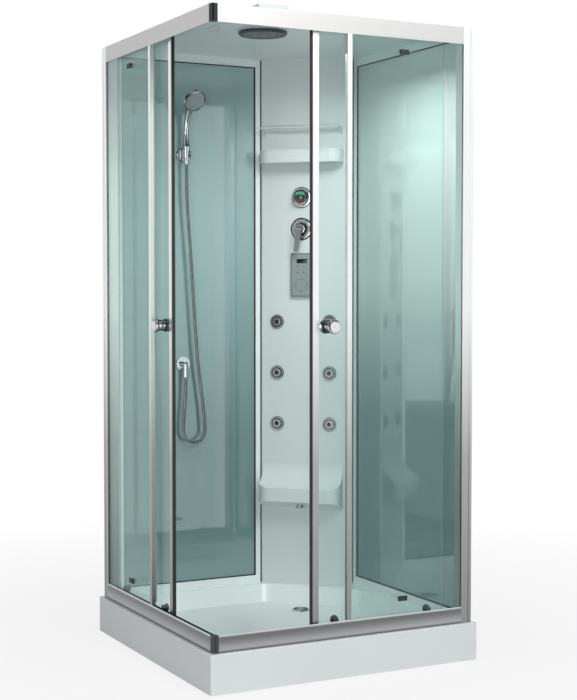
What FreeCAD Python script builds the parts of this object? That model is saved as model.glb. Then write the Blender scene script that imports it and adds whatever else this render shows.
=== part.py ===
# Corner-entry steam shower cabin on a square tray. Millimetres, +Z up.
# The origin is on the floor under the middle of the tray. The front side faces -Y and the other
# glazed side, called the side, faces -X. The white column stands across the corner at +X +Y.
import FreeCAD
import Part
import Sketcher
import math
import os
import re

V = FreeCAD.Vector

# Driving dimensions: name, value, what it is.
dimensions = [
    ("tray_width", 1000, "outside of the square tray"),
    ("tray_height", 131, "top of the tray's rim"),
    ("tray_wall", 5, "thickness of the acrylic"),
    ("apron_gap", 4, "floor to the lower edge of the apron"),
    ("rim_width", 75, "flat rim round the basin"),
    ("basin_floor", 70, "height of the basin's floor"),
    ("basin_slope", 35, "how far the basin's walls lean in"),
    ("basin_radius", 60, "corner radius of the basin"),
    ("column_apron", 21, "rim left in front of the column"),
    ("drain_place", 186, "drain centre from the middle, along X"),
    ("drain_place_back", 197, "drain centre from the middle, along Y"),
    ("drain_hole", 60, "hole in the tray"),
    ("drain_cover_size", 70, "diameter of the chrome cover"),
    ("trap_size", 108, "diameter of the trap"),
    ("trap_floor_gap", 8, "floor to the underside of the trap"),
    ("trap_wall", 2, "wall of the trap and its pipe"),
    ("waste_pipe", 28, "outside diameter of the outlet pipe"),
    ("tube_size", 25, "square tube of the tray's frame"),
    ("frame_margin", 60, "tray edge to the tube frame"),
    ("foot_size", 44, "diameter of a foot's pad"),
    ("foot_pad", 8, "thickness of a foot's pad"),
    ("foot_stud", 12, "diameter of a foot's stud"),
    ("frame_height", 2150, "top of the aluminium frame"),
    ("frame_inset", 15, "tray edge to the outer face of the frame"),
    ("rail_height", 56, "height of the top and bottom rails"),
    ("rail_depth", 45, "depth of the rails and posts"),
    ("rail_wall", 3, "wall thickness of the rails"),
    ("rail_back", 19, "height of a bottom rail's inner wall"),
    ("rail_skirt", 42, "height of a top rail's inner wall"),
    ("rib_width", 2, "rib that holds a fixed pane"),
    ("rib_height", 16, "height of that rib"),
    ("cap_size", 21, "side of the chrome corner cap"),
    ("cap_round", 9, "outer radius of the corner cap"),
    ("mitre_gap", 0.1, "air between two rails at their mitre"),
    ("post_width", 40, "face width of a post"),
    ("post_groove", 3, "width of the line down a post"),
    ("post_groove_place", 11, "outer edge to that line"),
    ("post_groove_depth", 2, "depth of that line"),
    ("pane_glass", 6, "thickness of a fixed pane"),
    ("pane_bite", 12, "how far a pane sits in its post"),
    ("front_pane_edge", 497, "front corner to the front pane's profile"),
    ("side_pane_edge", 520, "front corner to the side pane's profile"),
    ("pane_profile_width", 16.5, "face width of a pane's edge profile"),
    ("pane_profile_depth", 13.5, "depth of a pane's edge profile"),
    ("profile_step", 0.5, "edge profile behind the rail's face"),
    ("profile_web", 3, "wall of the glass profiles"),
    ("seal_gap", 0.3, "air between a seal and what slides past"),
    ("pane_seal_width", 6, "width of the pane's brush seal"),
    ("pad_place", 710, "front corner to a pane's dark pads"),
    ("pad_above", 108, "tray's rim to the lower pads"),
    ("pad_below", 100, "frame's top down to the upper pads"),
    ("pad_width", 34, "width of a pad"),
    ("pad_height", 16, "height of a pad"),
    ("pad_depth", 6, "thickness of a pad"),
    ("door_setback", 21, "rail's outer face to the door glass"),
    ("door_glass", 5, "thickness of the door glass"),
    ("door_lead", 378, "front corner to the door's profile at rest"),
    ("door_end_gap", 65, "post's inner edge to the door's rear edge at rest"),
    ("door_rise", 19, "tray's rim to the lower edge of the door glass"),
    ("door_drop", 10, "frame's top down to the upper edge of the door glass"),
    ("door_profile_width", 22, "face width of the door's profile"),
    ("door_profile_face", 4, "front wall of the door's profile"),
    ("door_profile_overhang", 6, "profile past the glass at the bottom"),
    ("door_seal_width", 6, "width of the magnetic seal"),
    ("door_seal_depth", 9, "depth of the magnetic seal"),
    ("knob_place", 58, "door's leading edge to the knob"),
    ("knob_height", 1150, "height of the knobs"),
    ("knob_length", 47, "how far a knob stands off the glass outside"),
    ("knob_disc", 13, "thickness of the grip disc inside"),
    ("knob_cap", 48, "diameter of a knob's cap"),
    ("knob_barrel", 38, "diameter of a knob's barrel"),
    ("knob_hole", 12, "hole in the glass for the knob's stud"),
    ("fit_gap", 0.3, "air round a stud in its hole"),
    ("track_width", 3, "width of the running ribs"),
    ("track_place", 31.5, "rail's outer face to the running rib"),
    ("track_height", 45, "running rib above the tray's rim"),
    ("track_lip", 6, "running rib above its ledge in the top rail"),
    ("wheel_radius", 12, "wheel in its groove"),
    ("wheel_flange", 1.5, "flange above the groove"),
    ("wheel_width", 5, "width of a wheel"),
    ("wheel_gap", 0.3, "air between wheel and rib"),
    ("axle_size", 6, "bore of a wheel"),
    ("running_gap", 0.05, "radial clearance of a shaft"),
    ("lead_roller_place", 88, "leading edge to the first rollers"),
    ("rear_roller_place", 56, "rear edge to the second rollers"),
    ("roller_hole", 10, "hole in the glass for a roller bracket"),
    ("bracket_size", 18, "diameter of a roller bracket"),
    ("bracket_nut", 4.5, "thickness of its outer nut"),
    ("bracket_plate", 4.2, "thickness of its inner plate"),
    ("wall_inset", 18, "tray edge to the outer face of a wall frame"),
    ("wall_depth", 20, "depth of a wall frame"),
    ("wall_stile", 24, "width of a wall frame's stiles"),
    ("wall_bar", 29, "height of a wall frame's bars"),
    ("wall_glass", 5, "thickness of a wall pane"),
    ("wall_glass_back", 7, "outer face of the frame to the pane"),
    ("wall_glass_bite", 8, "how far a pane sits in its frame"),
    ("column_corner", 275.8, "tray's back corner to the column's face"),
    ("column_shift", -48, "column's middle off the diagonal"),
    ("column_width", 340, "width of the column's face"),
    ("column_round", 7, "radius of the column's front edges"),
    ("column_wall", 5, "thickness of the column's shell"),
    ("ledge_width", 320, "width of the shelf and the seat"),
    ("ledge_round", 42, "corner radius of the shelf and the seat"),
    ("shelf_depth", 70, "how far the shelf stands out"),
    ("shelf_below", 400, "frame's top down to the shelf's underside"),
    ("shelf_lip", 49, "height of the shelf's lip"),
    ("shelf_recess", 14, "depth of the shelf's dish"),
    ("shelf_rim", 10, "edge round the shelf's dish"),
    ("seat_depth", 85, "how far the seat stands out"),
    ("seat_height", 462, "lower edge of the seat's lip"),
    ("seat_lip", 55, "height of the seat's lip"),
    ("seat_cove", 109, "height of the hollow curve above the seat"),
    ("seat_under", 32, "drop of the seat's underside"),
    ("towel_below", 265, "frame's top down to the towel rail"),
    ("towel_drop", 23, "how far its brackets slope down"),
    ("towel_reach", 45, "towel rail off the column"),
    ("towel_span", 302, "length of the towel rail"),
    ("towel_bar", 12, "diameter of the towel rail"),
    ("towel_base", 20, "diameter of a bracket's foot"),
    ("towel_base_thick", 3, "thickness of a bracket's foot"),
    ("jet_first", 754, "height of the lowest jets"),
    ("jet_pitch", 196, "distance between jets"),
    ("jet_spread", 105, "jets from the column's middle line"),
    ("jet_ring", 55, "diameter of a jet's ring"),
    ("jet_ring_height", 5, "thickness of a jet's ring"),
    ("jet_groove", 2, "depth of the groove round a jet's ring"),
    ("jet_ball", 28, "diameter of the swivelling nozzle"),
    ("jet_ball_place", 2, "ball's middle behind the column's face"),
    ("jet_neck", 33, "diameter of a jet's body in the column"),
    ("jet_depth", 30, "depth of a jet's body"),
    ("diverter_below", 529, "frame's top down to the diverter"),
    ("diverter_ring", 80, "diameter of the diverter's ring"),
    ("mixer_below", 649, "frame's top down to the mixer"),
    ("mixer_ring", 86, "diameter of the mixer's ring"),
    ("valve_place", -6, "valves from the column's middle line"),
    ("ring_height", 5, "thickness of the valve rings"),
    ("valve_neck", 24, "diameter of a valve's neck"),
    ("valve_size", 46, "diameter of a valve's body"),
    ("valve_depth", 45, "depth of a valve's body"),
    ("shaft_size", 12, "bore for a valve's spindle"),
    ("shaft_length", 22, "how far a spindle reaches back"),
    ("hub_size", 40, "diameter of the mixer's hub"),
    ("hub_length", 20, "length of the mixer's hub"),
    ("lever_turn", 8, "degrees that the lever hangs to the left"),
    ("lever_barrel", 16, "diameter of the lever's barrel"),
    ("lever_width", 18, "width of the lever"),
    ("lever_length", 88, "lever's pivot to its tip"),
    ("lever_thick", 8, "thickness of the lever"),
    ("ear_width", 4, "thickness of the hub's ears"),
    ("pin_size", 6, "bore for the lever's pin"),
    ("dome_size", 46, "diameter of the diverter's dome"),
    ("dome_height", 17, "height of the diverter's dome"),
    ("panel_width", 85, "width of the control panel"),
    ("panel_height", 167, "height of the control panel"),
    ("panel_depth", 11, "thickness of the control panel"),
    ("panel_below", 908, "frame's top down to the panel's lower edge"),
    ("panel_place", -4, "panel from the column's middle line"),
    ("panel_round", 5, "corner radius of the control panel"),
    ("roof_thick", 4, "thickness of the roof's shell"),
    ("roof_inset", 25, "outer face of the frame to the roof's edge"),
    ("roof_rib", 16, "height of the roof's ribs"),
    ("rib_thick", 6, "thickness of the roof's ribs"),
    ("rib_place", 90, "roof's edge to its ribs"),
    ("head_place", -137, "rain head from the middle, both ways"),
    ("disc_size", 310, "diameter of the ceiling's disc"),
    ("disc_drop", 9, "how far the disc hangs below the ceiling"),
    ("head_size", 166, "diameter of the rain head"),
    ("head_drop", 11, "thickness of the rain head"),
    ("duct_width", 15, "width of the ceiling's duct"),
    ("duct_shift", 28, "duct's start beside the rain head"),
    ("duct_end", 112, "duct's far end from the middle"),
    ("duct_drop", 5, "how far the duct hangs below the ceiling"),
    ("housing_width", 114, "overhead housing along X"),
    ("housing_length", 168, "overhead housing along Y"),
    ("housing_height", 66, "overhead housing"),
    ("housing_wall", 3, "wall of the overhead housing"),
    ("hose_place", -171, "handset and hose along X"),
    ("handset_off", 34, "handset's axis off the wall pane"),
    ("holder_below", 375, "frame's top down to the holder's middle"),
    ("holder_rose", 54, "diameter of the holder's rose"),
    ("holder_ring", 36, "outside of the holder's ring"),
    ("holder_ring_height", 26, "height of the holder's ring"),
    ("cone_low", 20, "handset's cone at its lower end"),
    ("cone_high", 27, "handset's cone at its upper end"),
    ("cone_length", 46, "length of the handset's cone"),
    ("handset_nut", 19, "diameter of the hose's nut at the handset"),
    ("handset_nut_length", 20, "length of that nut"),
    ("handset_turn", 12, "degrees that the handset is turned"),
    ("handset_tilt", 35, "degrees that its face looks down"),
    ("head_reach", 58, "spray head in front of the handle"),
    ("head_rise", 190, "spray head above the holder"),
    ("spray_size", 86, "diameter of the spray head"),
    ("spray_depth", 22, "thickness of the spray head"),
    ("outlet_place", -174, "wall outlet along X"),
    ("outlet_height", 990, "height of the wall outlet"),
    ("outlet_rose", 54, "diameter of the outlet's rose"),
    ("outlet_off", 28, "hose at the outlet off the wall pane"),
    ("outlet_nut", 20, "diameter of the nut at the outlet"),
    ("outlet_spout", 30, "length of the outlet's spout"),
    ("outlet_nut_length", 22, "length of the nut at the outlet"),
    ("outlet_drop", 50, "outlet's middle down to the nut's lower end"),
    ("hose_low", 694, "lowest points of the hose's route"),
    ("hose_size", 13, "outside diameter of the hose"),
    ("pipe_size", 15, "diameter of the copper pipes"),
    ("elbow_size", 19, "diameter of the pipes' elbows and tees"),
    ("pipe_depth", 60, "pipes behind the column's face"),
    ("inlet_spread", 40, "water inlets from the mixer's middle"),
    ("inlet_height", 510, "lower ends of the water inlets"),
    ("inlet_size", 20, "diameter of an inlet's end fitting"),
    ("inlet_length", 30, "length of an inlet's end fitting"),
    ("steam_width", 200, "width of the steam generator"),
    ("steam_depth", 105, "depth of the steam generator"),
    ("steam_height", 290, "height of the steam generator"),
    ("steam_place", 46, "generator from the column's middle line"),
    ("steam_gap", 22, "column's face to the generator"),
    ("nozzle_size", 26, "diameter of the steam nozzle"),
]

doc = FreeCAD.newDocument("steam_shower_cabin")
sheet = doc.addObject("Spreadsheet::Sheet", "sizes")
for row, (alias, value, meaning) in enumerate(dimensions, start=1):
    sheet.set(f"A{row}", alias)
    sheet.set(f"B{row}", str(value))
    sheet.set(f"C{row}", meaning)
    sheet.setAlias(f"B{row}", alias)
doc.recompute()
aliases = {alias for alias, value, meaning in dimensions}
nodes = {}


# ---- helpers -------------------------------------------------------------------------------

def bound(text):
    """The expression in which each dimension's name is read from the sheet."""
    return re.sub(r"[a-z_]+", lambda word: "sizes." + word[0] if word[0] in aliases else word[0], text)


def num(text):
    """The value of an expression of dimension names."""
    return float(sheet.evalExpression(bound(text)))


def place(obj, at, turn=None):
    """Bind an object's position to three expressions, with a fixed rotation."""
    if turn is not None:
        obj.Placement = FreeCAD.Placement(V(0, 0, 0), turn)
    for axis, text in zip("xyz", at):
        obj.setExpression(f"Placement.Base.{axis}", bound(text))
    return obj


def keep(name, obj):
    """Make an object a sub-part, labelled with its node's name."""
    obj.Label = name
    nodes[name] = obj
    return obj


def box(name, low, high):
    """A box between two corners, each given as three expressions."""
    obj = doc.addObject("Part::Box", name)
    for side, a, b in zip(("Length", "Width", "Height"), low, high):
        obj.setExpression(side, bound(f"({b}) - ({a})"))
    return place(obj, low)


def rod(name, at, radius, length, direction):
    """A cylinder from a point, along a direction."""
    obj = doc.addObject("Part::Cylinder", name)
    obj.setExpression("Radius", bound(radius))
    obj.setExpression("Height", bound(length))
    return place(obj, at, FreeCAD.Rotation(V(0, 0, 1), direction))


def cut(name, base, *tools):
    """A boolean cut with one or more tools."""
    for count, tool in enumerate(tools):
        obj = doc.addObject("Part::Cut", f"{name}_cut{count}")
        obj.Base = base
        obj.Tool = tool
        base = obj
    return base


def fuse(name, *parts):
    """One solid from several that touch or overlap."""
    obj = doc.addObject("Part::MultiFuse", name)
    obj.Shapes = list(parts)
    obj.Refine = True
    return obj


def group(name, *parts):
    """Several separate solids that make one sub-part."""
    obj = doc.addObject("Part::Compound", name)
    obj.Links = list(parts)
    return obj


def mirrored(name, source):
    """The same piece on the other glazed side, across the cabin's diagonal plane."""
    obj = doc.addObject("Part::Mirroring", name)
    obj.Source = source
    obj.Base = V(0, 0, 0)
    obj.Normal = V(1, -1, 0)
    return obj


def feature(name, shape, placement=None):
    """A sub-part whose shape is worked out here from the sheet."""
    obj = doc.addObject("Part::Feature", name)
    obj.Shape = shape
    if placement is not None:
        obj.Placement = placement
    return obj


def outline_sketch(body, role, corners):
    """A closed outline on one of the body's own planes, each corner bound to the sheet."""
    sketch = body.newObject("Sketcher::SketchObject", body.Name + "_outline")
    plane = [item for item in body.Origin.OriginFeatures if item.Role == role][0]
    sketch.AttachmentSupport = (plane, [""])
    sketch.MapMode = "FlatFace"
    points = [V(num(x), num(y), 0) for x, y in corners]
    count = len(points)
    for i in range(count):
        sketch.addGeometry(Part.LineSegment(points[i], points[(i + 1) % count]), False)
    for i in range(count):
        sketch.addConstraint(Sketcher.Constraint("Coincident", i, 2, (i + 1) % count, 1))
    for i, corner in enumerate(corners):
        for kind, text in zip(("DistanceX", "DistanceY"), corner):
            rule = sketch.addConstraint(Sketcher.Constraint(kind, -1, 1, i, 1, num(text)))
            sketch.setExpression(f"Constraints[{rule}]", bound(text))
    doc.recompute()
    return sketch


def extruded(name, role, corners, start, length):
    """A padded outline: along X from the YZ plane, or along Z from the XY plane."""
    body = doc.addObject("PartDesign::Body", name)
    sketch = outline_sketch(body, role, corners)
    pad = body.newObject("PartDesign::Pad", name + "_pad")
    pad.Profile = sketch
    pad.setExpression("Length", bound(length))
    body.Tip = pad
    sketch.Visibility = False
    return place(body, (start, "0", "0") if role == "YZ_Plane" else ("0", "0", start))


def turned(name, corners, at, direction, roll=0):
    """A solid of revolution: corners are radius and height along the direction."""
    body = doc.addObject("PartDesign::Body", name)
    sketch = outline_sketch(body, "XZ_Plane", corners)
    turn = body.newObject("PartDesign::Revolution", name + "_turn")
    turn.Profile = sketch
    turn.ReferenceAxis = (sketch, ["V_Axis"])
    turn.Angle = 360
    body.Tip = turn
    rotation = FreeCAD.Rotation(V(0, 0, 1), direction).multiply(FreeCAD.Rotation(V(0, 0, 1), roll))
    return place(body, at, rotation)


def rounded_loop(points, radius, height):
    """A closed wire through the points at one height, with every corner rounded."""
    points = [V(x, y, height) for x, y in points]
    starts, ends, middles = [], [], []
    for i, corner in enumerate(points):
        back = (points[i - 1] - corner).normalize()
        on = (points[(i + 1) % len(points)] - corner).normalize()
        half = back.getAngle(on) / 2
        reach = radius / math.tan(half)
        centre = corner + (back + on).normalize() * (radius / math.sin(half))
        starts.append(corner + back * reach)
        ends.append(corner + on * reach)
        middles.append(centre + (corner - centre).normalize() * radius)
    edges = []
    for i in range(len(points)):
        edges.append(Part.Arc(starts[i], middles[i], ends[i]).toShape())
        edges.append(Part.LineSegment(ends[i], starts[(i + 1) % len(points)]).toShape())
    return Part.Wire(edges)


def prism(wire, height):
    """A solid from a closed flat wire, upwards."""
    return Part.Face(wire).extrude(V(0, 0, height))


def pipe_run(points, radius, elbow):
    """A rigid pipe: straight lengths that meet in ball-shaped elbows."""
    pieces = []
    for i in range(len(points) - 1):
        run = points[i + 1] - points[i]
        pieces.append(Part.makeCylinder(radius, run.Length, points[i], run))
        if i:
            pieces.append(Part.makeSphere(elbow, points[i]))
    return pieces


# Places that many pieces share, written with the sheet's names.
half = "tray_width / 2"
column_face = f"({half} * sqrt(2) - column_corner)"
shelf_height = "(frame_height - shelf_below)"
diverter_height = "(frame_height - diverter_below)"
mixer_height = "(frame_height - mixer_below)"
holder_height = "(frame_height - holder_below)"
door_bottom = "(tray_height + door_rise)"
door_top = "(frame_height - door_drop)"
edge = f"(-{half})"
face = f"({edge} + frame_inset)"
rail_inner = f"({face} + rail_depth)"
post_face = f"({half} - frame_inset - post_width)"
cap_end = f"({face} + cap_size)"
pane_outer = f"({face} + rail_wall)"
pane_inner = f"({pane_outer} + pane_glass)"
door_outer = f"({face} + door_setback)"
door_inner = f"({door_outer} + door_glass)"
track_outer = f"({face} + track_place)"
lead = f"({edge} + door_lead)"
bottom_rail_top = "(tray_height + rail_height)"
top_rail_bottom = "(frame_height - rail_height)"
top_track = "(frame_height - rail_skirt + rail_wall + track_lip)"
bottom_track = "(tray_height + track_height)"
wall_outer = f"({half} - wall_inset)"
wall_inner = f"({wall_outer} - wall_depth)"
pane_face = f"({wall_outer} - wall_glass_back - wall_glass)"
out = V(-1, -1, 0)
aside = V(1, -1, 0)
column_turn = FreeCAD.Rotation(V(0, 0, 1), -45)


def on_column(offset, stand_off, height):
    """A point on the column: off its middle line, out from its face, above the floor."""
    depth = f"{column_face} - ({stand_off})"
    along = f"column_shift + ({offset})"
    return (f"({depth} + {along}) * sqrt(0.5)", f"({depth} - ({along})) * sqrt(0.5)", height)


column_frame = FreeCAD.Placement(V(*(num(text) for text in on_column("0", "0", "0"))), column_turn)

# ---- tray, its frame, feet and waste -------------------------------------------------------


def basin_loop(inset, height):
    """The basin's outline: a square with its back corner cut off along the column."""
    side = num(f"{half} - rim_width") - inset
    reach = (num(f"{column_face} - column_apron") - inset) * math.sqrt(2) - side
    corners = [(-side, -side), (side, -side), (side, reach), (reach, side), (-side, side)]
    return rounded_loop(corners, num("basin_radius"), height)


def basin(grow, drop, top):
    """The basin's hollow, or its outside when grown by the wall."""
    floor = basin_loop(num("basin_slope") - grow, num("basin_floor") - drop)
    mouth = basin_loop(-grow, top)
    return Part.makeLoft([floor, mouth], True, True)


def tray_shape():
    side = num(half)
    wall = num("tray_wall")
    low = num("apron_gap")
    top = num("tray_height")
    tray = Part.makeBox(2 * side, 2 * side, top - low, V(-side, -side, low))
    upright = [e for e in tray.Edges if abs(e.tangentAt(e.FirstParameter).z) > 0.9]
    tray = tray.makeFillet(wall, upright)
    rim = [e for e in tray.Edges if e.BoundBox.ZMin > top - 0.1]
    tray = tray.makeFillet(wall / 2, rim)
    inner = side - wall
    under = Part.makeBox(2 * inner, 2 * inner, top - wall - low, V(-inner, -inner, low))
    under = under.cut(basin(wall, wall, top - wall))
    drain = V(num("drain_place"), num("drain_place_back"), 0)
    hole = Part.makeCylinder(num("drain_hole") / 2, top, drain)
    notch_width = num("waste_pipe") * 1.4
    notch_height = num("trap_floor_gap + waste_pipe") + wall - low
    notch = Part.makeBox(notch_width, 2 * wall, notch_height,
                         V(drain.x - notch_width / 2, side - 1.5 * wall, low))
    return tray.cut(under).cut(basin(0, 0, top)).cut(hole).cut(notch)


keep("tray", feature("tray", tray_shape()))

tube_top = "(basin_floor - tray_wall)"
tube_low = f"({tube_top} - tube_size)"
frame_out = f"({half} - frame_margin)"
frame_in = f"({frame_out} - tube_size)"
bars = [
    box("bar_front", (f"-{frame_out}", f"-{frame_out}", tube_low), (frame_out, f"-{frame_in}", tube_top)),
    box("bar_back", (f"-{frame_out}", frame_in, tube_low), (frame_out, frame_out, tube_top)),
    box("bar_left", (f"-{frame_out}", f"-{frame_in}", tube_low), (f"-{frame_in}", frame_in, tube_top)),
    box("bar_right", (frame_in, f"-{frame_in}", tube_low), (frame_out, frame_in, tube_top)),
    box("bar_along", (f"-{frame_in}", "-tube_size / 2", tube_low), (frame_in, "tube_size / 2", tube_top)),
    box("bar_across", ("-tube_size / 2", f"-{frame_in}", tube_low), ("tube_size / 2", frame_in, tube_top)),
]
keep("tray_frame", fuse("tray_frame", *bars))

foot_place = f"({frame_out} - tube_size / 2)"
feet = []
for x in (f"-{foot_place}", "0", foot_place):
    for y in (f"-{foot_place}", "0", foot_place):
        if (x == "0") == (y == "0"):
            profile = [("0", "0"), ("foot_size / 2", "0"), ("foot_size / 2", "foot_pad / 2"),
                       ("foot_stud", "foot_pad"), ("foot_stud / 2", "foot_pad"),
                       ("foot_stud / 2", tube_low), ("0", tube_low)]
            feet.append(turned(f"foot{len(feet)}", profile, (x, y, "0"), V(0, 0, 1)))
keep("levelling_feet", group("levelling_feet", *feet))

trap = rod("trap_cup", ("drain_place", "drain_place_back", "trap_floor_gap"), "trap_size / 2",
           f"{tube_top} - trap_floor_gap", V(0, 0, 1))
trap_bore = rod("trap_bore", ("drain_place", "drain_place_back", "trap_floor_gap + trap_wall"),
                "drain_hole / 2", f"{tube_top}", V(0, 0, 1))
outlet_level = "(trap_floor_gap + waste_pipe / 2 + trap_wall)"
outlet = rod("trap_outlet", ("drain_place", "drain_place_back", outlet_level), "waste_pipe / 2",
             f"{half} - drain_place_back", V(0, 1, 0))
outlet_bore = rod("outlet_bore", ("drain_place", "drain_place_back", outlet_level),
                  "waste_pipe / 2 - trap_wall", f"{half} - drain_place_back", V(0, 1, 0))
keep("waste_trap", cut("waste_trap", fuse("trap_body", trap, outlet), trap_bore, outlet_bore))

cover_profile = [
    ("0", "-tray_wall * 3"), ("drain_hole / 2 - 5", "-tray_wall * 3"), ("drain_hole / 2 - 5", "wheel_gap"),
    ("drain_cover_size / 2", "wheel_gap"), ("drain_cover_size / 2", "2"),
    ("drain_cover_size / 2 - 6", "4.5"), ("0", "5.5"),
]
keep("drain_cover", turned("drain_cover", cover_profile,
                           ("drain_place", "drain_place_back", "basin_floor"), V(0, 0, 1)))

# ---- rails, posts and corner caps ----------------------------------------------------------

rib_inner = f"({pane_inner} + rib_width)"
track_inner = f"({track_outer} + track_width)"
rail_web = "(tray_height + rail_wall)"
bottom_outline = [
    (face, "tray_height"), (rail_inner, "tray_height"), (rail_inner, "tray_height + rail_back"),
    (f"{rail_inner} - rail_wall", "tray_height + rail_back"), (f"{rail_inner} - rail_wall", rail_web),
    (track_inner, rail_web), (track_inner, bottom_track), (track_outer, bottom_track),
    (track_outer, rail_web), (rib_inner, rail_web), (rib_inner, f"{rail_web} + rib_height"),
    (pane_inner, f"{rail_web} + rib_height"), (pane_inner, rail_web), (pane_outer, rail_web),
    (pane_outer, bottom_rail_top), (face, bottom_rail_top),
]
roof_web = "(frame_height - rail_wall)"
ledge = "(frame_height - rail_skirt)"
top_outline = [
    (face, top_rail_bottom), (pane_outer, top_rail_bottom), (pane_outer, roof_web),
    (pane_inner, roof_web), (pane_inner, f"{roof_web} - rib_height"), (rib_inner, f"{roof_web} - rib_height"),
    (rib_inner, roof_web), (f"{rail_inner} - rail_wall", roof_web),
    (f"{rail_inner} - rail_wall", f"{ledge} + rail_wall"), (track_inner, f"{ledge} + rail_wall"),
    (track_inner, top_track), (track_outer, top_track), (track_outer, ledge), (rail_inner, ledge),
    (rail_inner, "frame_height"), (face, "frame_height"),
]
mitre_end = f"({rail_inner} + 1)"
mitre = extruded("corner_mitre", "XY_Plane",
                 [(edge, edge), (cap_end, edge), (cap_end, f"{cap_end} - mitre_gap"),
                  (mitre_end, f"{mitre_end} - mitre_gap"), (edge, mitre_end)],
                 "0", "frame_height + tray_height")
for name, outline in (("bottom_rail", bottom_outline), ("top_rail", top_outline)):
    bar = extruded(name + "_bar", "YZ_Plane", outline, face, f"{post_face} - ({face})")
    front = cut(name + "_front", bar, mitre)
    keep(name + "s", group(name + "s", front, mirrored(name + "_side", front)))


def corner_cap(name, low, high):
    """A chrome cap with a round outer edge and flutes down its two faces."""
    low_z = num(low)
    height = num(high) - low_z
    near, far = num(face), num(cap_end)
    radius = num("cap_round")
    block = Part.makeBox(far - near, far - near, height, V(near, near, low_z))
    outer = [e for e in block.Edges if e.BoundBox.XMax < near + 0.1 and e.BoundBox.YMax < near + 0.1]
    block = block.makeFillet(radius, outer)
    flute = (far - near) / 14
    for step in (5.6, 8.2, 10.8):
        for x, y in ((near + flute * step, near), (near, near + flute * step)):
            block = block.cut(Part.makeCylinder(flute * 0.8, height, V(x, y, low_z)))
    return feature(name, block)


keep("corner_caps", group("corner_caps",
                          corner_cap("cap_low", "tray_height", bottom_rail_top),
                          corner_cap("cap_high", top_rail_bottom, "frame_height")))

post_outer = f"({half} - frame_inset)"
groove_high = f"({post_outer} - post_groove_place)"
groove_low = f"({groove_high} - post_groove)"
pane_end = f"({post_face} + pane_bite)"
post_outline = [
    (post_face, face), (groove_low, face), (groove_low, f"{face} + post_groove_depth"),
    (groove_high, f"{face} + post_groove_depth"), (groove_high, face), (post_outer, face),
    (post_outer, rail_inner), (post_face, rail_inner), (post_face, pane_inner), (pane_end, pane_inner),
    (pane_end, pane_outer), (post_face, pane_outer),
]
post = extruded("front_post", "XY_Plane", post_outline, "tray_height", "frame_height - tray_height")
keep("front_post", post)
keep("side_post", mirrored("side_post", post))

# ---- fixed panes ---------------------------------------------------------------------------

# The brush seal starts above the lower roller brackets, which pass behind it.
seal_low = f"({bottom_track} + wheel_gap + wheel_radius + bracket_size / 2 + 1)"
profiles, seals = [], []
for side, pane_edge in (("front", "front_pane_edge"), ("side", "side_pane_edge")):
    start = f"({edge} + {pane_edge})"
    stop = f"({start} + pane_profile_width)"
    outer = f"({face} + profile_step)"
    inner = f"({outer} + pane_profile_depth)"
    web = f"({start} + profile_web)"
    glass = box(side + "_pane", (web, pane_outer, rail_web), (pane_end, pane_inner, roof_web))
    outline = [(start, outer), (stop, outer), (stop, pane_outer), (web, pane_outer),
               (web, pane_inner), (stop, pane_inner), (stop, inner), (start, inner)]
    profile = extruded(side + "_pane_edge", "XY_Plane", outline, bottom_rail_top,
                       f"{top_rail_bottom} - {bottom_rail_top}")
    seal = box(side + "_pane_brush", (web, inner, seal_low),
               (f"{web} + pane_seal_width", f"{door_outer} - seal_gap", top_rail_bottom))
    pads = []
    for end, level in (("low", "(tray_height + pad_above)"), ("high", "(frame_height - pad_below)")):
        middle = f"({edge} + pad_place)"
        pads.append(box(f"{side}_pad_{end}", (f"{middle} - pad_width / 2", f"{pane_outer} - pad_depth",
                                              f"{level} - pad_height / 2"),
                        (f"{middle} + pad_width / 2", pane_outer, f"{level} + pad_height / 2")))
    if side == "side":
        glass = mirrored("side_pane_glass", glass)
        profile = mirrored("side_pane_profile", profile)
        seal = mirrored("side_pane_seal", seal)
        pads = [mirrored(pad.Name + "_side", pad) for pad in pads]
    keep("fixed_glass_" + side, glass)
    profiles.append(profile)
    seals.append(seal)
    seals.extend(pads)
keep("pane_profiles", group("pane_profiles", *profiles))
keep("pane_seals", group("pane_seals", *seals))

# ---- sliding doors -------------------------------------------------------------------------

door_web = f"({lead} + profile_web)"
door_end = f"({post_face} - door_end_gap)"
lead_roller = f"({lead} + lead_roller_place)"
rear_roller = f"({door_end} - rear_roller_place)"
roller_places = [(lead_roller, top_track, "top"), (rear_roller, top_track, "top"),
                 (lead_roller, bottom_track, "bottom"), (rear_roller, bottom_track, "bottom")]
knob_x = f"({lead} + knob_place)"
inward = V(0, 1, 0)
holes = [rod("knob_hole_tool", (knob_x, door_outer, "knob_height"), "knob_hole / 2", "door_glass", inward)]
brackets, wheels = [], []
wheel_start = f"({track_outer} + track_width / 2 - wheel_width / 2)"
plate_end = "(door_glass + bracket_plate)"
bracket_profile = [
    ("0", "-bracket_nut"), ("bracket_size / 2", "-bracket_nut"), ("bracket_size / 2", "0"),
    ("roller_hole / 2 - fit_gap", "0"), ("roller_hole / 2 - fit_gap", "door_glass"),
    ("bracket_size / 2", "door_glass"), ("bracket_size / 2", plate_end),
    ("axle_size / 2 - running_gap", plate_end),
    ("axle_size / 2 - running_gap", f"{plate_end} + wheel_width + 2 * wheel_gap"),
    ("axle_size / 2 + 2", f"{plate_end} + wheel_width + 2 * wheel_gap"),
    ("axle_size / 2 + 2", f"{plate_end} + wheel_width + 2 * wheel_gap + 1.5"),
    ("0", f"{plate_end} + wheel_width + 2 * wheel_gap + 1.5"),
]
groove_side = "((wheel_width - track_width) / 2 - wheel_gap)"
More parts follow.
